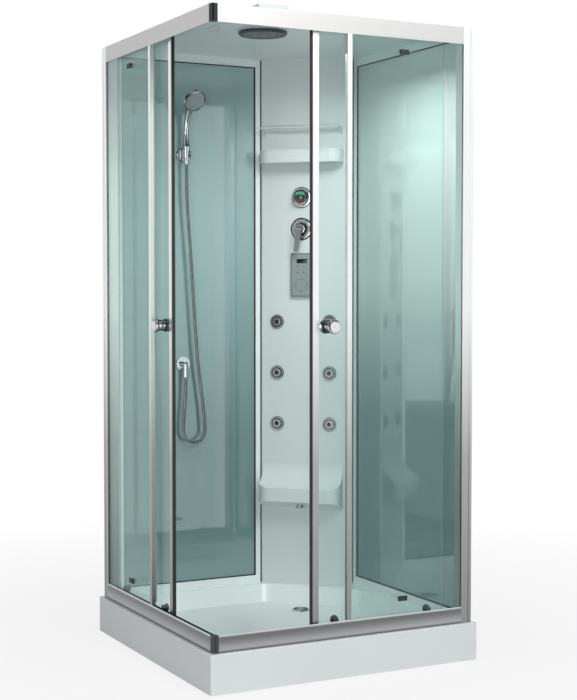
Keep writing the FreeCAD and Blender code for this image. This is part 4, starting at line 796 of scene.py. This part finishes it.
jets = {"columnFace": 0.43131, "groove": (0.0184, 0.0208), "grooveFoot": 0.002, "grooveTop": 0.0034,
        "hole": 0.0034, "holeReach": 0.0101}


def addJetDetails():
    # the dark ring in each jet's groove, and the mouth of each nozzle
    grooves = []
    inner, outer = jets["groove"]
    foot, top = jets["grooveFoot"], jets["grooveTop"]
    hole = jets["hole"]
    for number, (across, height) in enumerate(jetMiddles, 1):
        face = up * height - outward * jets["columnFace"] + along * across
        ring = [(inner, foot), (outer, foot), (outer, top), (inner, top), (inner, foot)]
        grooves.append(turnedPiece(ring, face, outward, 40))
        mouth = turnedPiece([(hole, 0), (hole, 0.0004), (hole * 0.5, 0.0005)],
                            face + outward * jets["holeReach"], outward, 24)
        finishPiece(mouth, "jetMouth%d" % number, "jet_nozzle_%d" % number, finishes["display"])
    finishPiece(joinPieces(grooves), "jetGrooves", "cabin", finishes["rubber"])


drain = {"slots": ((0.0215, 14, 0.0105), (0.0095, 7, 0.0065)), "width": 0.0022, "thick": 0.0014,
         "centreDrop": 0.0004}


def addDrainSlots():
    # two rings of dark slots, each given by its radius, number and slot length
    middle, top = boxMiddle("drain_cover"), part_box("drain_cover")[1].z
    slots = []
    for radius, count, length in drain["slots"]:
        for number in range(count):
            turn = 2 * math.pi * number / count
            spot = (middle.x + radius * math.cos(turn), middle.y + radius * math.sin(turn),
                    top - drain["centreDrop"])
            slots.append(blockPiece((length, drain["width"], drain["thick"]), spot, turn))
    finishPiece(joinPieces(slots), "drainSlots", "drain_cover", finishes["display"])


gasket = {"stile": 0.024, "bar": 0.029, "width": 0.0032, "depth": 0.006, "inset": 0.002, "proud": 0.002,
          "columnGap": 0.0048, "endGap": 0.001}


def gasketStrip(runAxis, place, face, level, length, depth, tall):
    # an upright or level strip on the wall that runs along runAxis
    spot, size = [0, 0, level], [0, 0, tall]
    spot[runAxis], spot[1 - runAxis] = place, face
    size[runAxis], size[1 - runAxis] = length, depth
    return blockPiece(size, spot, 0, 0.0006, 1)


def addWallGaskets():
    # dark rubber round each wall pane and down both edges of the column
    strips = []
    width, depth = gasket["width"], gasket["depth"]
    for node, runAxis in (("wall_frame_back", 0), ("wall_frame_right", 1)):
        low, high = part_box(node)
        inside = low[1 - runAxis]  # the frame's inner face
        face = inside + gasket["inset"] + depth / 2
        start, stop = low[runAxis] + gasket["stile"], high[runAxis] - gasket["stile"]
        bottom, top = low.z + gasket["bar"], high.z - gasket["bar"]
        for level in (bottom + width / 2, top - width / 2):
            strips.append(gasketStrip(runAxis, (start + stop) / 2, face, level, stop - start, depth, width))
        for place in (start + width / 2, stop - width / 2):
            strips.append(gasketStrip(runAxis, place, face, (bottom + top) / 2, width, depth, top - bottom))
        strips.append(gasketStrip(runAxis, high[runAxis] - gasket["columnGap"] / 2,
                                  inside - gasket["proud"] / 2, (low.z + high.z) / 2, gasket["columnGap"],
                                  gasket["proud"], high.z - low.z - 2 * gasket["endGap"]))
    finishPiece(joinPieces(strips), "wallGaskets", "cabin", finishes["rubber"])


addJetDetails()
addDrainSlots()
addWallGaskets()
addDiverterDome()
addKnobBands("front", "front_door")
addKnobBands("side", "side_door")
addSprayFace()
print("fittings dressed")


studio = {"floor": 40, "world": 0.19, "floorGlow": 0.84, "glowFrom": 0.7, "glowTo": 3.0, "floorPaint": 0.6,
          "darkSide": (-0.6, -0.8, 0.05), "darkest": 0.28}


def addFloor():
    clearSelection()
    bpy.ops.mesh.primitive_plane_add(size=studio["floor"], location=(0, 0, -0.0005))
    floor = bpy.context.object
    floor.name = "studioFloor"
    made = Finish("paleFloor", roughness=0.9)
    pale = studio["floorPaint"]
    made.base((pale, pale, pale, 1))
    paths = made.tree.nodes.new("ShaderNodeLightPath")
    seen = Link(made, paths.outputs["Is Camera Ray"]) + Link(made, paths.outputs["Is Glossy Ray"])
    seen = seen + Link(made, paths.outputs["Is Transmission Ray"])
    distance = made.node("VectorMath", {"operation": "LENGTH"}, {0: made.place()}, "Value")
    further = made.node("MapRange", {}, {"Value": distance, "From Min": studio["glowFrom"],
                                         "From Max": studio["glowTo"], "To Min": studio["floorGlow"]})
    seen = made.node("Math", {"operation": "MINIMUM"}, {0: seen, 1: 1.0}) * further
    glow = made.node("Emission", {}, {"Color": (1, 1, 1, 1), "Strength": 1.0})
    shader = Link(made, made.shader.outputs[0])
    mixed = made.node("MixShader", {}, {0: seen, 1: shader, 2: glow})
    made.put(made.output.inputs["Surface"], mixed)
    floor.data.materials.append(made.material)


def addWorld():
    # white for the camera, metal and glass, softer as light; metal also sees the dim side behind the camera
    world = bpy.data.worlds.new("studioWorld")
    world.use_nodes = True
    bpy.context.scene.world = world
    made = NodeTree(world.node_tree)
    made.tree.nodes.clear()
    paths = made.tree.nodes.new("ShaderNodeLightPath")
    glossy = Link(made, paths.outputs["Is Glossy Ray"])
    through = Link(made, paths.outputs["Is Transmission Ray"])
    seen = Link(made, paths.outputs["Is Camera Ray"]) + glossy + through
    seen = made.node("Math", {"operation": "MINIMUM"}, {0: seen, 1: 1.0})
    ray = made.node("TexCoord", output="Generated")
    behind = made.node("VectorMath", {"operation": "DOT_PRODUCT"}, {0: ray, 1: studio["darkSide"]}, "Value")
    dim = made.node("MapRange", {"interpolation_type": "SMOOTHSTEP"},
                    {"Value": behind, "From Min": 0.55, "From Max": 0.9, "To Max": 1 - studio["darkest"]})
    light = made.node("Background", {}, {"Color": (0.93, 0.97, 1.0, 1), "Strength": studio["world"]})
    white = made.node("Background", {}, {"Color": (1, 1, 1, 1), "Strength": 1 - dim * glossy})
    output = made.tree.nodes.new("ShaderNodeOutputWorld")
    made.put(output.inputs["Surface"], made.node("MixShader", {}, {0: seen, 1: light, 2: white}))


lamps = {
    "keyLamp": {"place": (0.4, -4.2, 4.4), "aim": (0, 0, 0.6), "size": 2.2, "power": 165},
    "entryLamp": {"place": (-3.4, -3.6, 1.4), "aim": (0.2, 0.2, 1.2), "size": 2.0, "power": 50},
    "cabinLamp": {"place": (0.08, -0.28, 2.03), "aim": (0.08, -0.28, 0), "size": 0.4, "power": 5.6,
                  "hidden": True},
}


def addLamps():
    for name, lamp in lamps.items():
        aim = Vector(lamp["aim"]) - Vector(lamp["place"])
        rotation = aim.to_track_quat("-Z", "Y").to_euler()
        bpy.ops.object.light_add(type="AREA", location=lamp["place"], rotation=rotation)
        made = bpy.context.object
        made.name = name
        made.data.energy = lamp["power"]
        made.data.size = lamp["size"]
        if "hidden" in lamp:  # it only lights the inside, nothing mirrors it
            made.visible_camera = False
            made.visible_glossy = False
            made.visible_transmission = False


addFloor()
addWorld()
addLamps()
bpy.context.scene.view_settings.view_transform = "Standard"
print("studio ready")
